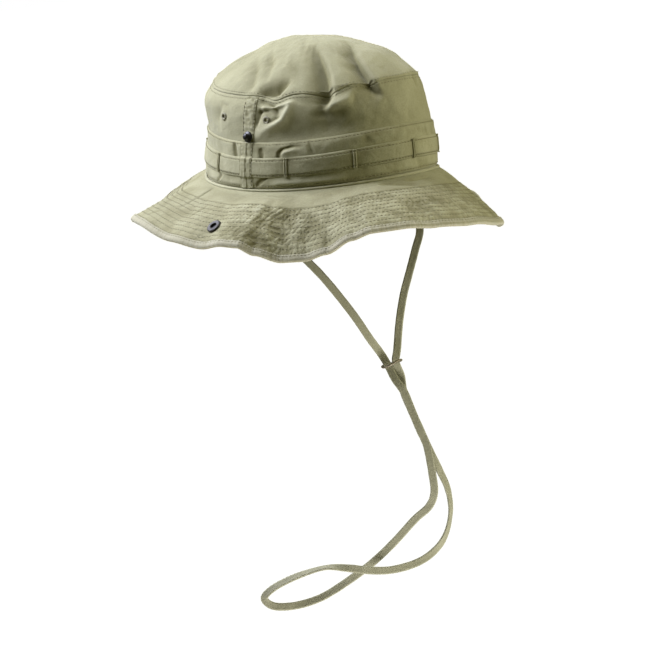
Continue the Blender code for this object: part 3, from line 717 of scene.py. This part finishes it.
def cotton(name, color, pale, painted_shade, weave=0.6, ribs=2600.0):
    """Washed cotton: twill weave from UVs in metres, soft mottling, pale rubbed ridges, and deep creases of
    painted shade.
    """
    mat, tree, bsdf = shader(name)
    uv = add(tree, "UVMap", "UV", uv_map="cloth")
    bands = []
    for axis, fineness in (("X", 1.5), ("Y", 1.5), ("DIAGONAL", 2.4)):
        inputs = {"Scale": ribs * fineness / 6.283, "Distortion": 1.2, "Detail": 1.0, "Vector": uv}
        bands.append(add(tree, "TexWave", "Fac", inputs, bands_direction=axis))
    plain = add(tree, "Math", 0, {0: bands[0], 1: bands[1]}, operation="MULTIPLY")
    twill = add(tree, "Math", 0, {0: plain, 1: bands[2]}, operation="ADD")

    coords = add(tree, "TexCoord", "Object")
    mottle = add(tree, "TexNoise", "Fac", {"Scale": 38.0, "Detail": 6.0, "Roughness": 0.62, "Vector": coords})
    fleck = add(tree, "TexNoise", "Fac", {"Scale": 900.0, "Detail": 3.0, "Vector": coords})
    crinkled = {"Scale": 150.0, "Detail": 4.0, "Roughness": 0.6, "Vector": coords}
    crinkle = add(tree, "TexNoise", "Fac", crinkled)

    wear_and_shade = add(tree, "Attribute", "Fac", attribute_name="wear_and_shade")
    ridge = add(tree, "MapRange", "Result", {"From Min": -1.0, "From Max": 1.0, "Value": wear_and_shade})
    # Colour ramp: the deep end is painted shade in creases and folds, the pale end is rubbed wear on ridges.
    tone = ramp(tree, ridge, (0.15, painted_shade), (0.5, color), (0.9, pale))
    blotch = ramp(tree, mottle, (0.3, (0.88, 0.88, 0.86)), (0.72, (1.06, 1.06, 1.07)))
    threads = ramp(tree, fleck, (0.25, (0.9, 0.9, 0.88)), (0.75, (1.07, 1.07, 1.07)))

    fuzz = add(tree, "Math", 0, {0: twill, 1: fleck}, operation="ADD")
    soft = add(tree, "Bump", "Normal", {"Strength": 0.5, "Distance": 0.0012, "Height": crinkle})
    woven = {"Strength": 0.5 * weave, "Distance": 0.0003, "Height": fuzz, "Normal": soft}
    fill(tree, bsdf, {
        "Base Color": multiply(tree, multiply(tree, tone, blotch), threads),
        "Normal": add(tree, "Bump", "Normal", woven),
        "Roughness": add(tree, "MapRange", "Result", {"To Min": 0.82, "To Max": 0.96, "Value": mottle}),
        "Specular IOR Level": 0.25,
        "Sheen Weight": 0.22,
        "Sheen Roughness": 0.55,
        "Sheen Tint": (0.9, 0.92, 0.85, 1)})
    return mat


def metal(name, color, worn, rough, metallic, coat=0.0):
    """Small painted or plated hardware: faint scuffs that change colour and roughness, and a fine bump."""
    mat, tree, bsdf = shader(name)
    coords = add(tree, "TexCoord", "Object")
    scuff = add(tree, "TexNoise", "Fac", {"Scale": 420.0, "Detail": 8.0, "Roughness": 0.7, "Vector": coords})
    dull = {"To Min": rough, "To Max": min(1.0, rough + 0.25), "Value": scuff}
    fill(tree, bsdf, {
        "Base Color": ramp(tree, scuff, (0.45, color), (0.75, worn)),
        "Roughness": add(tree, "MapRange", "Result", dull),
        "Normal": add(tree, "Bump", "Normal", {"Strength": 0.12, "Distance": 0.0002, "Height": scuff}),
        "Metallic": metallic,
        "Coat Weight": coat,
        "Coat Roughness": 0.12})
    return mat


def white_floor():
    """Pale floor that looks white from the camera."""
    mat, tree, bsdf = shader("pale_floor")
    fill(tree, bsdf, {"Base Color": (0.9, 0.9, 0.9, 1), "Roughness": 1.0, "Specular IOR Level": 0.0,
                      "Emission Color": (1, 1, 1, 1), "Emission Strength": 1.0})
    return mat


COTTON = cotton("washed_cotton", (0.355, 0.342, 0.200), (0.455, 0.445, 0.29), (0.215, 0.202, 0.095))
BRIM_COTTON = cotton("brim_cotton", (0.357, 0.342, 0.200), (0.465, 0.455, 0.30), (0.215, 0.20, 0.095))
BINDING_COTTON = cotton("binding_cotton", (0.40, 0.38, 0.26), (0.48, 0.46, 0.34), (0.29, 0.27, 0.16),
                        ribs=1100)
CORD_COTTON = cotton("cord_tape", (0.33, 0.322, 0.215), (0.41, 0.40, 0.28), (0.235, 0.228, 0.14), 0.35, 2800)
TAPE = cotton("inner_tape", (0.42, 0.40, 0.28), (0.48, 0.46, 0.34), (0.33, 0.31, 0.20), ribs=900)
# The thread's colour is darker than the cloth: painted shade of the needle holes along each row.
THREAD_WITH_PAINTED_SHADE = cotton("thread", (0.24, 0.224, 0.130), (0.28, 0.262, 0.16), (0.18, 0.168, 0.090), ribs=3000)
EYELET_PAINT = metal("painted_eyelet", (0.22, 0.21, 0.13), (0.34, 0.32, 0.22), 0.55, 0.0)
BLACK_SNAP = metal("black_snap", (0.004, 0.004, 0.004), (0.010, 0.010, 0.008), 0.30, 0.0, coat=0.08)
GREY_SNAP = metal("gunmetal_snap", (0.030, 0.027, 0.022), (0.075, 0.068, 0.055), 0.50, 0.0, coat=0.08)
BRONZE = metal("slider_bronze", (0.20, 0.17, 0.11), (0.42, 0.37, 0.26), 0.35, 0.35)


# =============================== crown ===============================
def crown_wear_and_shade(t, v):
    """Rubbed wear and painted shade of the crown cloth: pale where it stands proud, deep painted shade in the
    folds.
    """
    return np.clip(crown_relief(t, v) * 210, -1, 1)


def build_crown():
    """The two halves of the side panel with their vent holes, and the tip."""
    step, vent_hole = 0.9, 0.0021
    vents = [crown(s * VENT_T[end], VENT_Z) for s in (-1, 1) for end in ("front", "back")]

    def hole(p):
        return min(np.linalg.norm(p - q) for q in vents) < vent_hole
    heights = np.linspace(0.0, H, 64)
    for name, mid in (("front", 0.0), ("back", 180.0)):
        ts = mid + np.linspace(-89.9, 89.9, int(180 / step) + 1)
        t, v = np.meshgrid(ts, heights, indexing="ij")
        side = cloth(f"crown_side_{name}", crown(t, v), crown(t, v, -PLY), COTTON, cloth_uv(t, v),
                     crown_wear_and_shade(t, v), skip=hole)
        place(side, "hat", "cotton", f"side_panel_{name}")
    reach = np.concatenate([np.linspace(0.00012, 0.010, 12), np.linspace(0.012, TIP_REACH * 0.992, 46)])
    t, v = np.meshgrid(np.arange(0, 360, step), H + reach, indexing="ij")
    outer = crown(t, v, 0.0002)
    tip = cloth("crown_tip_cloth", outer, crown(t, v, -PLY), COTTON, outer[..., :2], crown_wear_and_shade(t, v),
                ring=True)
    cap_tip(tip, *t.shape)
    place(tip, "hat", "cotton", "crown_tip")


def cap_tip(obj, nu, nv):
    """Closes the small ring left at the middle of the tip, a cloth of nu by nv points on each face."""
    bm = bmesh.new()
    bm.from_mesh(obj.data)
    rim = [f for f in bm.faces if all(((v.index % (nu * nv)) % nv) == nv - 1 for v in f.verts)]
    bmesh.ops.delete(bm, geom=rim, context="FACES_ONLY")
    bm.verts.ensure_lookup_table()
    for base in (0, nu * nv):
        loop = [bm.verts[base + i * nv + nv - 1] for i in range(nu)]
        bm.faces.new(loop if base == 0 else loop[::-1]).smooth = True
    bmesh.ops.recalc_face_normals(bm, faces=bm.faces)
    bm.to_mesh(obj.data)
    bm.free()


def band_heights(lo, hi, inset, count):
    """Heights across a band, close together where its folded edges roll over."""
    edge = np.array([0, 0.0003, 0.0007, 0.0011, 0.0015, 0.0019])
    return np.concatenate([lo + edge, np.linspace(lo + inset, hi - inset, count), hi - edge[::-1]])


def build_band(name, node, t, z, outer, inner, worn):
    """One length of a band between two distances off the panel."""
    # Painted shade: the band darkens in its folds and row grooves; it pales where it stands proud.
    wear_and_shade = np.clip(worn * 900, -1, 1)
    band = cloth(name, off_panel(t, z, outer), off_panel(t, z, inner), COTTON, cloth_uv(t, z), wear_and_shade)
    place(band, "hat", "cotton", node)


def build_bands():
    """The wide band and, over it, the foliage band, in front and back halves."""
    for name, mid in (("front", 0.0), ("back", 180.0)):
        ts = mid + np.linspace(-89.9, 89.9, 341)
        t, z = np.meshgrid(ts, band_heights(*BAND_Z, 0.0024, 48), indexing="ij")
        out = band_out(t, z)
        outer = np.minimum(out, 0.0003 + rounded(z, *BAND_Z, 0.0015) + np.maximum(out - 0.0018, 0))
        build_band(f"hat_band_cloth_{name}", f"hat_band_{name}", t, z, outer, 0.0002, out - 0.0018)
        ts = mid + np.linspace(-87.5, 87.5, 341)
        t, z = np.meshgrid(ts, band_heights(*FOLIAGE_Z, 0.0023, 36), indexing="ij")
        out = foliage_out(t, z)
        outer = out - PLY + rounded(z, *FOLIAGE_Z, PLY)
        build_band(f"foliage_band_cloth_{name}", f"foliage_band_{name}", t, z, outer, out - 0.0012,
                   out - 0.0030)


def build_seam_strips():
    """The felled seam at each side, above the bands and over them."""
    half = math.degrees(0.0066 / A)
    u = np.linspace(-1, 1, 41)
    rows = -0.0004 * hump(np.abs(u) - SEAM_ROW_U, 0.09)
    ridge = (0.0009 * np.clip((1 - np.abs(u)) * 10, 0.05, 1) + rows)[:, None]
    fell = 0.0006 * smooth(-u, -0.08, 0.02)[:, None]
    for side, mid in (("right", -SEAM_T), ("left", SEAM_T)):
        t, z = np.meshgrid(mid + half * u, np.linspace(BAND_Z[1] + 0.0002, H - 0.0004, 70), indexing="ij")
        pucker = 0.00030 * noise((t + 180) / 2.4, z * 1000 / 2.6, 150, 90)
        # Colour follows the puckers: paler on their tops, painted shade in their hollows.
        strip = cloth(f"side_seam_cloth_{side}", crown(t, z, ridge + pucker), crown(t, z, 0.00005), COTTON,
                      cloth_uv(t, z), np.clip(pucker * 2500, -1, 1))
        place(strip, "hat", "cotton", f"side_seam_{side}")

        heights = np.linspace(BAND_Z[0] + 0.0003, BAND_Z[1] - 0.0003, 64)
        t, z = np.meshgrid(mid + half * u, heights, indexing="ij")
        pucker = 0.00018 * noise((t + 180) / 1.8, z * 1000 / 2.2, 200, 95)
        out = 0.0014 + 0.00132 * over_foliage(z) + ridge + fell + pucker
        # Colour follows the puckers: paler on their tops, painted shade in their hollows.
        strip = cloth(f"band_seam_cloth_{side}", off_panel(t, z, out), off_panel(t, z, 0.0009), COTTON,
                      cloth_uv(t, z), np.clip(pucker * 2500, -1, 1))
        place(strip, "hat", "cotton", f"band_seam_{side}")


def build_tacks():
    """Bar tacks: two close ridges of thread across the foliage band."""
    zs = np.linspace(FOLIAGE_Z[0] + 0.0004, FOLIAGE_Z[1] - 0.0004, 40)
    zig = 0.0001 * np.sin(zs / 0.0009 * math.pi)
    angles = np.linspace(0, 2 * math.pi, 8, endpoint=False)
    for k, at in enumerate(TACKS):
        for letter, aside in (("a", -0.50), ("b", 0.50)):
            t = np.full(zs.shape, at + aside)
            centre = off_panel(t, zs, foliage_out(t, zs) + 0.0004)
            n = radial(t)
            along = np.cross(n, (0, 0, 1.0))
            rings = []
            for a in angles:
                sideways = zig[:, None] + TACK_R * math.cos(a)
                rings.append(centre + n * TACK_R * math.sin(a) + along * sideways)
            thread = tube(f"bar_tack_thread_{k + 1:02d}{letter}", np.stack(rings, 1), COTTON)
            node = [f"bar_tack_{k + 1:02d}"] if letter == "a" else []
            place(thread, "hat", "thread", *node)


def build_piping():
    """The folded lip where the brim is sewn on."""
    ts = np.arange(0, 360, 1.0)
    radius = 0.0012 + 0.00012 * noise(ts / 1.5, 0, 240, 101)
    angles = np.linspace(0, 2 * math.pi, 12, endpoint=False)
    middle = rise(ts) - root_drop(ts, 0.0) + 0.0003
    rings = []
    for a in angles:
        x, y, _, _ = oval(ts, 0.0017 + radius * math.cos(a))
        rings.append(np.stack([x, y, middle + radius * 0.9 * math.sin(a)], -1))
    wear_and_shade = np.full((len(ts), len(angles)), 0.35)
    pipe = tube("base_lip", np.stack(rings, 1), COTTON, closed=True, uv_len=ts * 0.0015, wear_and_shade=wear_and_shade)
    place(pipe, "hat", "cotton", "base_piping")


# =============================== brim ===============================
BINDING_PROFILE = (                    # (metres past the brim's width, metres above its middle)
    (-0.0049, 0.0012), (-0.0049, 0.0018), (-0.0045, 0.0020), (-0.0037, 0.00168), (-0.0026, 0.0020),
    (-0.0010, 0.0019), (0.0001, 0.0015), (0.0008, 0.0006), (0.0008, -0.0006), (0.0001, -0.0015),
    (-0.0010, -0.0019), (-0.0026, -0.0020), (-0.0037, -0.00168), (-0.0045, -0.0020), (-0.0049, -0.0018),
    (-0.0049, -0.0012), (-0.0030, -0.0007), (-0.0030, 0.0007))


def blend_brim(obj):
    """Bakes a brim piece's placement into its mesh."""
    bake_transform(obj)


def build_brim_cloth(side, end, t0):
    """Both layers of one half of the brim, from t0 round to t0 + 180."""
    reach = np.concatenate([np.linspace(-0.0006, 0.018, 22), np.linspace(0.0187, BRIM_W, 76)])
    t, s = np.meshgrid(t0 + np.linspace(0, 180, 451), reach, indexing="ij")
    # Colour from the quilting relief: pale puffs between the rows, painted shade in the row valleys and
    # puckers, a little deeper overall.
    worn = brim_texture(t, s) * 1.1 - 0.15
    obj = cloth(f"brim_cloth_{side}", brim(t, s, 0.0011), brim_below(t, s, -0.0011), BRIM_COTTON,
                np.stack([t * 0.0019, s], -1), np.clip(worn, -1, 1))
    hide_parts(f"brim_upper_flap_{side}", f"brim_under_flap_{side}", f"brim_upper_{end}",
                f"brim_under_{end}")
    blend_brim(obj)


def build_brim_edge(side, end, t0):
    """The binding round one half of the brim."""
    ts = t0 + np.linspace(0, 180, 901)
    ripple = 0.00013 * noise(ts / 0.5, 0, 720, 120) + 0.00004 * noise(ts / 3, 0, 120, 121)
    n = brim_normals(ts, np.full(ts.shape, BRIM_W - 0.001))
    sag = binding_sag(ts)
    rings = []
    for past, off in BINDING_PROFILE:
        swell = np.sign(off) * ripple * (abs(off) > 0.001)
        rings.append(brim_base(ts, np.full(ts.shape, BRIM_W + past)) + n * (off + swell + sag)[:, None])
    # Paler on the binding's ripples, painted shade between them.
    wear_and_shade = np.repeat(np.clip(ripple * 5000, -1, 1), len(BINDING_PROFILE))
    edge = tube(f"brim_edge_{side}", np.stack(rings, 1), BINDING_COTTON, uv_len=ts * 0.0025, wear_and_shade=wear_and_shade)
    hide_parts(f"brim_binding_flap_{side}", f"brim_binding_{end}")
    blend_brim(edge)


def build_brim_sewing(side, t0):
    """The rows across one half of the brim, above and below, and those on its binding."""
    ts = t0 + np.linspace(0, 180, 720)
    lines = []
    for k in range(ROWS):
        at = ROW_FIRST + (k - row_wander(ts)) * ROW_PITCH
        lines.append(row_on(brim, ts, at, 0.00110))
        lines.append(flipped(row_on(brim_below, ts, at, -0.00115)))
    if side == "right":
        for first, last, s_first, s_last in STRAY_STITCHES:
            lines.append(row_on(brim, np.linspace(first, last, 12), np.linspace(s_first, s_last, 12), 0.0011))
    lines.append(binding_row(ts, 1))
    lines.append(binding_row(ts, -1))
    thread = stitches(f"brim_stitching_{side}", lines, THREAD_WITH_PAINTED_SHADE)
    blend_brim(thread)


def binding_row(ts, sign):
    """The row that sews the binding down, near its inner edge."""
    s = np.full(ts.shape, BRIM_W - EDGE_ROW)
    n = brim_normals(ts, s)
    return brim_base(ts, s) + n * (sign * 0.00158 + binding_sag(ts))[:, None], n * sign


def build_brim():
    """The right half of the brim carries the front pieces of the CAD model, the left half the back ones."""
    for side, end, t0 in (("right", "front", -180.0), ("left", "back", 0.0)):
        build_brim_cloth(side, end, t0)
        build_brim_edge(side, end, t0)
        build_brim_sewing(side, t0)


# =============================== sewing on the crown ===============================
def build_crown_stitches():
    """Every row on the crown: beside the tip seam, on both bands and down the side seams."""
    front = np.linspace(-180, 180, 1100)
    band, foliage = over_panel(band_out), over_panel(foliage_out)
    strip = over_panel(lambda t, z: 0.0022 + 0.0013 * over_foliage(z))
    lines = [row_on(crown, front, H + SEAM_ROW, 0.0002), row_on(crown, front, H - SEAM_ROW, 0.0)]
    for z in BAND_ROWS:
        lines.append(row_on(band, front, z, 0.0))
    for z in FOLIAGE_ROWS:
        for mid in (0.0, 180.0):
            lines.append(row_on(foliage, mid + np.linspace(-86, 86, 600), z, 0.0))
    high = np.linspace(BAND_Z[1] + 0.001, H - 0.003, 60)
    low = np.linspace(BAND_Z[0] + 0.001, BAND_Z[1] - 0.001, 50)
    for mid in (-SEAM_T, SEAM_T):
        for aside in (-3.14, 3.14):
            lines.append(row_on(crown, mid + aside, high, 0.0007))
            lines.append(row_on(strip, mid + aside, low, 0.0))
    place(stitches("crown_stitching", lines, THREAD_WITH_PAINTED_SHADE), "hat", "thread")


# =============================== hardware ===============================
# profiles of turned parts: (radius, height over the cloth)
EYELET = ((0.0014, -0.0016), (0.0014, 0.0003), (0.0016, 0.0007), (0.0021, 0.0009), (0.0026, 0.0008),
          (0.0031, 0.0004), (0.0031, 0.0002), (0.0019, 0.0001), (0.0019, -0.0016))
WASHER = ((0.0022, -0.0013), (0.0038, -0.0013), (0.0036, -0.0018), (0.0024, -0.0019))
STUD = ((0, 0.0001), (0.0040, 0.0001), (0.0043, 0.0004), (0.0043, 0.0009), (0.0040, 0.0013), (0.0033, 0.0016),
        (0.0027, 0.0018), (0.0024, 0.0024), (0.0025, 0.0033), (0.0022, 0.0040), (0.0015, 0.0044), (0, 0.0046))
STUD_BACK = ((0, -0.0036), (0.0048, -0.0036), (0.0050, -0.0041), (0.0036, -0.0047), (0, -0.0050))
SOCKET = ((0.0025, 0.0008), (0.0054, 0.0010), (0.0060, 0.0016), (0.0059, 0.0024), (0.0053, 0.0030),
          (0.0044, 0.0032), (0.0037, 0.0029), (0.0030, 0.0031), (0.0026, 0.0027))
SOCKET_CUP = ((0, 0.0009), (0.00245, 0.0009), (0.00245, 0.0013), (0, 0.0013))
SOCKET_CAP = ((0, -0.0016), (0.0053, -0.0016), (0.0056, -0.0021), (0.0050, -0.0028), (0.0028, -0.0033),
              (0, -0.0034))
DISC = ((0.0071, -0.00055), (0.0078, -0.00085), (0.0084, -0.0008), (0.0089, -0.0003), (0.0089, 0.0003),
        (0.0084, 0.0008), (0.0078, 0.00085), (0.0071, 0.00055))
# name, profile, CAD node
VENT_PARTS = (("vent_eyelet", EYELET, "vent"), ("vent_back", WASHER, "vent_washer"))
STUD_PARTS = (("crown_snap", STUD, "crown_stud"), ("crown_snap_back", STUD_BACK, "stud_back"))


def frame_on(surface, t, v, off=0.0):
    """A point on a surface function and the outward direction there."""
    p, n = row_on(surface, [t], [v], off)
    return Vector(p[0]), Vector(n[0])


def build_hardware():
    """Vents, crown studs and brim sockets on both sides."""
    for side, s in (("right", -1), ("left", 1)):
        for end, t in VENT_T.items():
            spot = frame_on(crown, s * t, VENT_Z)
            for name, profile, node in VENT_PARTS:
                ring = lathe(f"{name}_{side}_{end}", profile, *spot, EYELET_PAINT)
                place(ring, "hat", "painted_eyelet", f"{node}_{side}_{end}")
        spot = frame_on(smooth_crown, s * 90.8, STUD_Z - 0.0012, 0.0012)
        for name, profile, node in STUD_PARTS:
            place(lathe(f"{name}_{side}", profile, *spot, BLACK_SNAP), "hat", "black_snap", f"{node}_{side}")
        spot = frame_on(smooth_brim, s * 89.2, SOCKET_S + 0.001)
        ring = lathe(f"brim_snap_{side}", SOCKET, *spot, GREY_SNAP)
        # The cup is black: painted shade of the hollow inside the socket.
        cup = lathe(f"brim_snap_cup_{side}", SOCKET_CUP, *spot, BLACK_SNAP)
        cap = lathe(f"brim_snap_cap_{side}", SOCKET_CAP, *spot, BLACK_SNAP)
        place(ring, f"brim_flap_{side}", "gunmetal_snap", f"brim_socket_{side}")
        place(cup, f"brim_flap_{side}", "gunmetal_snap")
        place(cap, f"brim_flap_{side}", "black_snap", f"brim_cap_{side}")


# =============================== inside ===============================
def build_inside():
    """Sweatband, tip seam tape, label and cord tabs."""
    ts = np.arange(0, 360, 1.5)
    t, z = np.meshgrid(ts, np.linspace(0.0006, 0.0260, 16), indexing="ij")
    loose = 0.0004 * noise(t / 6, z * 1000 / 12, 60, 130)
    outer, inner = off_panel(t, z, -PLY - 0.0004), off_panel(t, z, -PLY - 0.0014 - loose)
    band = cloth("sweatband_cloth", outer, inner, TAPE, cloth_uv(t, z), ring=True)
    place(band, "hat", "cotton", "sweatband")
    t, z = np.meshgrid(ts, np.linspace(H - 0.0085, H - 0.0004, 6), indexing="ij")
    outer, inner = crown(t, z, -PLY - 0.0003), crown(t, z, -PLY - 0.0010)
    tape = cloth("tip_tape_cloth", outer, inner, TAPE, cloth_uv(t, z), ring=True)
    place(tape, "hat", "tape", "tip_seam_tape")
    build_label()
    build_tabs()
    face = over_panel(lambda t, z: -PLY - 0.0016)
    line = row_on(face, np.linspace(0, 360, 900), 0.0245, 0.0)
    place(stitches("sweatband_stitching", [flipped(line)], THREAD_WITH_PAINTED_SHADE), "hat", "thread")


def build_label():
    """Blank woven label, sewn along its top edge to the sweatband, with a slight curl at its foot."""
    lo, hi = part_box("care_label")
    x, z = np.meshgrid(np.linspace(lo[0], hi[0], 25), np.linspace(lo[2], hi[2], 17), indexing="ij")
    depth = hi[1] if abs(lo[1]) > abs(hi[1]) else lo[1]
    inwards = -np.sign(depth)
    ripple = 1 + 0.4 * noise(x / 0.006 + 40, z / 0.006 + 40, 100, 140)
    curl = 0.0006 * (1 - (z - lo[2]) / (hi[2] - lo[2])) ** 2 * ripple
    faces = [np.stack([x, depth + inwards * (curl + off), z], -1) for off in (0.0002, -0.0002)]
    outer, inner = faces if inwards > 0 else faces[::-1]
    label = cloth("care_label_cloth", outer, inner, TAPE, np.stack([x, z], -1))
    place(label, "hat", "tape", "care_label")


def build_tabs():
    """Folded cotton tabs that hold the cord ends inside the crown."""
    for side in ("right", "left"):
        lo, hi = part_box(f"cord_tab_{side}")
        y, z = np.meshgrid(np.linspace(lo[1], hi[1], 17), np.linspace(lo[2], hi[2], 21), indexing="ij")
        u = (y - lo[1]) / (hi[1] - lo[1]) * 2 - 1
        w = (z - lo[2]) / (hi[2] - lo[2]) * 2 - 1
        edge = np.sqrt(np.clip(np.minimum(1 - np.abs(u), 1 - np.abs(w)) * 6, 0.05, 1))
        half = (hi[0] - lo[0]) / 2 * edge * (1 + 0.10 * noise(u * 4 + 8, w * 4 + 8, 40, 141))
        mid = (hi[0] + lo[0]) / 2
        outer, inner = np.stack([mid + half, y, z], -1), np.stack([mid - half, y, z], -1)
        tab = cloth(f"cord_tab_cloth_{side}", outer, inner, COTTON, np.stack([y, z], -1))
        place(tab, "hat", "cotton", f"cord_tab_{side}")


# =============================== cord ===============================
VIEWER = (-0.72, -0.68, 0.13)
# which way the flat of the tape faces along its length: (share of the length, direction)
TAPE_FACES = (
    (0.0, (-1, 0, 0)), (0.05, (-1, -0.3, 0)), (0.10, VIEWER), (0.40, VIEWER), (0.44, (-0.45, -0.6, 0.6)),
    (0.47, VIEWER), (0.49, (-0.9, -0.1, 0.5)), (0.505, (-0.4, -0.5, 0.75)), (0.525, (-0.4, -0.4, 0.8)),
    (0.55, (-0.12, -0.12, 1)), (0.575, VIEWER), (0.605, VIEWER), (0.64, (0.05, -0.98, 0.25)),
    (0.675, (0.35, -0.93, 0.1)), (0.70, (0.0, -1, 0.1)), (0.74, VIEWER), (0.92, VIEWER),
    (0.95, (-0.2, -1, 0)), (1.0, (1, 0, 0)))
# painted shade along the tape's length: deep on the first strand, which hangs in the brim's shadow, paler on
# later stretches: (share of the length, from -1 deep to 1 pale)
TAPE_SHADE = ((0.0, -0.9), (0.16, -0.9), (0.22, -0.35), (0.27, 0.1), (0.34, 0.25), (0.5, 0.0), (0.66, 0.0),
             (0.74, 0.3), (0.80, 0.3), (0.86, 0.15), (0.93, 0.05), (1.0, 0.0))
# outline of the tape: (share of its half width, share of its half thickness)
TAPE_SECTION = ((-1, 0.0), (-0.93, 0.75), (-0.7, 1.0), (-0.52, 0.93), (0, 0.98), (0.52, 0.93), (0.7, 1.0),
                (0.93, 0.75), (1, 0.0), (0.93, -0.75), (0.7, -1.0), (0, -0.9), (-0.7, -1.0), (-0.93, -0.75))


def smooth_path(points, count):
    """count points evenly spaced on a smooth curve through the given ones."""
    pts = np.array(points, float)
    pts = np.vstack([2 * pts[0] - pts[1], pts, 2 * pts[-1] - pts[-2]])
    f = np.linspace(0, 1, 24, endpoint=False)[:, None]
    dense = []
    for i in range(1, len(pts) - 2):
        p0, p1, p2, p3 = pts[i - 1:i + 3]
        bend, twist = 2 * p0 - 5 * p1 + 4 * p2 - p3, 3 * p1 - p0 - 3 * p2 + p3
        dense.append(0.5 * (2 * p1 + (p2 - p0) * f + bend * f ** 2 + twist * f ** 3))
    dense = np.vstack(dense + [pts[-2:-1]])
    along = np.concatenate([[0], np.cumsum(np.linalg.norm(np.diff(dense, axis=0), axis=1))])
    return at_length(np.linspace(0, along[-1], count), along, dense).T


def tape_faces(share, tangent):
    """Unit directions that the flat of the tape faces, square to the cord and turning gently."""
    keys = np.array([key for key, _ in TAPE_FACES])
    dirs = np.array([direction for _, direction in TAPE_FACES], float)
    face = at_length(share, keys, dirs).T
    face -= tangent * (face * tangent).sum(1)[:, None]
    for _ in range(14):
        face = (face + np.roll(face, 1, 0) + np.roll(face, -1, 0)) / 3
        face -= tangent * (face * tangent).sum(1)[:, None]
    face[0], face[-1] = face[1], face[-2]
    return face / np.linalg.norm(face, axis=1)[:, None]


def bend(r, a):
    """The slider disc is slightly bent out of flat."""
    share = r / 0.0087
    return 0.0007 * share ** 2 * np.sin(a * 2 + 0.9) + 0.0004 * share ** 3 * np.sin(a + 0.4)


def build_cord():
    """The tape, turning and slightly rucked where it twists, and the disc on it."""
    path = smooth_path(np.array(CORD_ROUTE) / 1000, 620)
    share = np.linspace(0, 1, len(path))
    tangent = np.gradient(path, axis=0)
    tangent /= np.linalg.norm(tangent, axis=1)[:, None]
    face = tape_faces(share, tangent)
    wide = np.cross(tangent, face)
    wobble = noise(share * 160, 0, 400, 150)
    crumple = noise(share * 90, 5, 400, 151)
    twisted = hump(share - 0.512, 0.012) + 0.8 * hump(share - 0.447, 0.010)
    ruck = 0.00055 * twisted * np.sin(share * 2 * math.pi * 330)
    half_width = CORD_WIDTH / 2 * (1 + 0.035 * wobble)
    half_thick = CORD_THICK / 2 * (1 + 0.12 * wobble)
    # fade is painted shade along the tape, with random crumple in its tone.
    fade = np.interp(share, *np.array(TAPE_SHADE).T) + 0.25 * crumple
    rings, wear_and_shade = [], []
    for across, out in TAPE_SECTION:
        height = half_thick * out + 0.00012 * crumple + ruck * (out > 0)
        rings.append(path + wide * (half_width * across)[:, None] + face * height[:, None])
        wear_and_shade.append(fade + (0.25 if abs(across) > 0.6 else -0.05))
    cord = tube("chin_cord_tape", np.stack(rings, 1), CORD_COTTON, wear_and_shade=np.clip(np.stack(wear_and_shade, 1), -1, 1))
    place(cord, "hat", "cotton", "chin_cord")
    disc = lathe("slider_disc", DISC, DISC_POS, DISC_AXIS, BRONZE, 64, bend)
    place(disc, "slider", "slider_bronze", "cord_slider")


# =============================== stage ===============================
def view_axes():
    """The camera's right and up directions before its roll, and the direction back towards it."""
    a, e = math.radians(VIEW_AZ), math.radians(VIEW_EL)
    back = Vector((math.sin(a) * math.cos(e), -math.cos(a) * math.cos(e), math.sin(e)))
    right = Vector((math.cos(a), math.sin(a), 0))
    return right, back.cross(right), back


def build_camera():
    """A long lens, far off, at the hat's own angle."""
    level, above, back = view_axes()
    roll = math.radians(VIEW_ROLL)
    right = level * math.cos(roll) - above * math.sin(roll)
    up = above * math.cos(roll) + level * math.sin(roll)
    cam = bpy.data.objects.new("camera", bpy.data.cameras.new("camera"))
    cam.data.lens, cam.data.sensor_width = LENS, SENSOR
    cam.data.clip_end = 60
    matrix = Matrix((right, up, back)).transposed().to_4x4()
    distance = METRES_PER_FRAME * LENS / SENSOR
    matrix.translation = right * AIM_RIGHT - up * AIM_DOWN + back * distance
    cam.matrix_world = matrix
    bpy.context.scene.collection.objects.link(cam)
    bpy.context.scene.camera = cam


def build_world():
    """White to the camera, and a faint warm fill on the hat."""
    world = bpy.data.worlds.new("studio")
    bpy.context.scene.world = world
    world.use_nodes = True
    tree = world.node_tree
    tree.nodes.clear()
    seen = add(tree, "Background", "Background", {"Color": (1, 1, 1, 1), "Strength": 1.0})
    lit = add(tree, "Background", "Background", {"Color": (1.0, 0.96, 0.32, 1), "Strength": 0.07})
    path = add(tree, "LightPath", "Is Camera Ray")
    mixed = add(tree, "MixShader", "Shader", {"Fac": path, 1: lit, 2: seen})
    fill(tree, tree.nodes.new("ShaderNodeOutputWorld"), {"Surface": mixed})


def build_lamps():
    """Soft studio lamps, placed by the camera's own directions."""
    right, _, back = view_axes()
    for name, (aside, above, behind), size, power, color in LAMPS:
        d = (right * aside + Vector((0, 0, above)) + back * behind).normalized()
        light = bpy.data.lights.new(name, "AREA")
        light.shape, light.size, light.energy, light.color = "DISK", size, power, color
        obj = bpy.data.objects.new(name, light)
        obj.location = d * LAMP_DISTANCE
        obj.rotation_mode = "QUATERNION"
        obj.rotation_quaternion = d.to_track_quat("Z", "Y")
        obj.visible_camera = False
        bpy.context.scene.collection.objects.link(obj)


def build_floor():
    """A wide pale floor well below the hanging cord."""
    corners = ((-1, -1), (1, -1), (1, 1), (-1, 1))
    verts = [(x * FLOOR_HALF, y * FLOOR_HALF, FLOOR_Z) for x, y in corners]
    floor = finish_mesh("floor", verts, [(0, 1, 2, 3)], white_floor(), uv=[(0, 0), (1, 0), (1, 1), (0, 1)])
    floor.visible_diffuse = False
    floor.visible_glossy = False


build_crown()
build_bands()
build_seam_strips()
build_tacks()
build_piping()
build_brim()
build_crown_stitches()
build_hardware()
build_inside()
build_cord()
build_camera()
build_world()
build_lamps()
build_floor()
bpy.context.scene.view_settings.view_transform = "Standard"
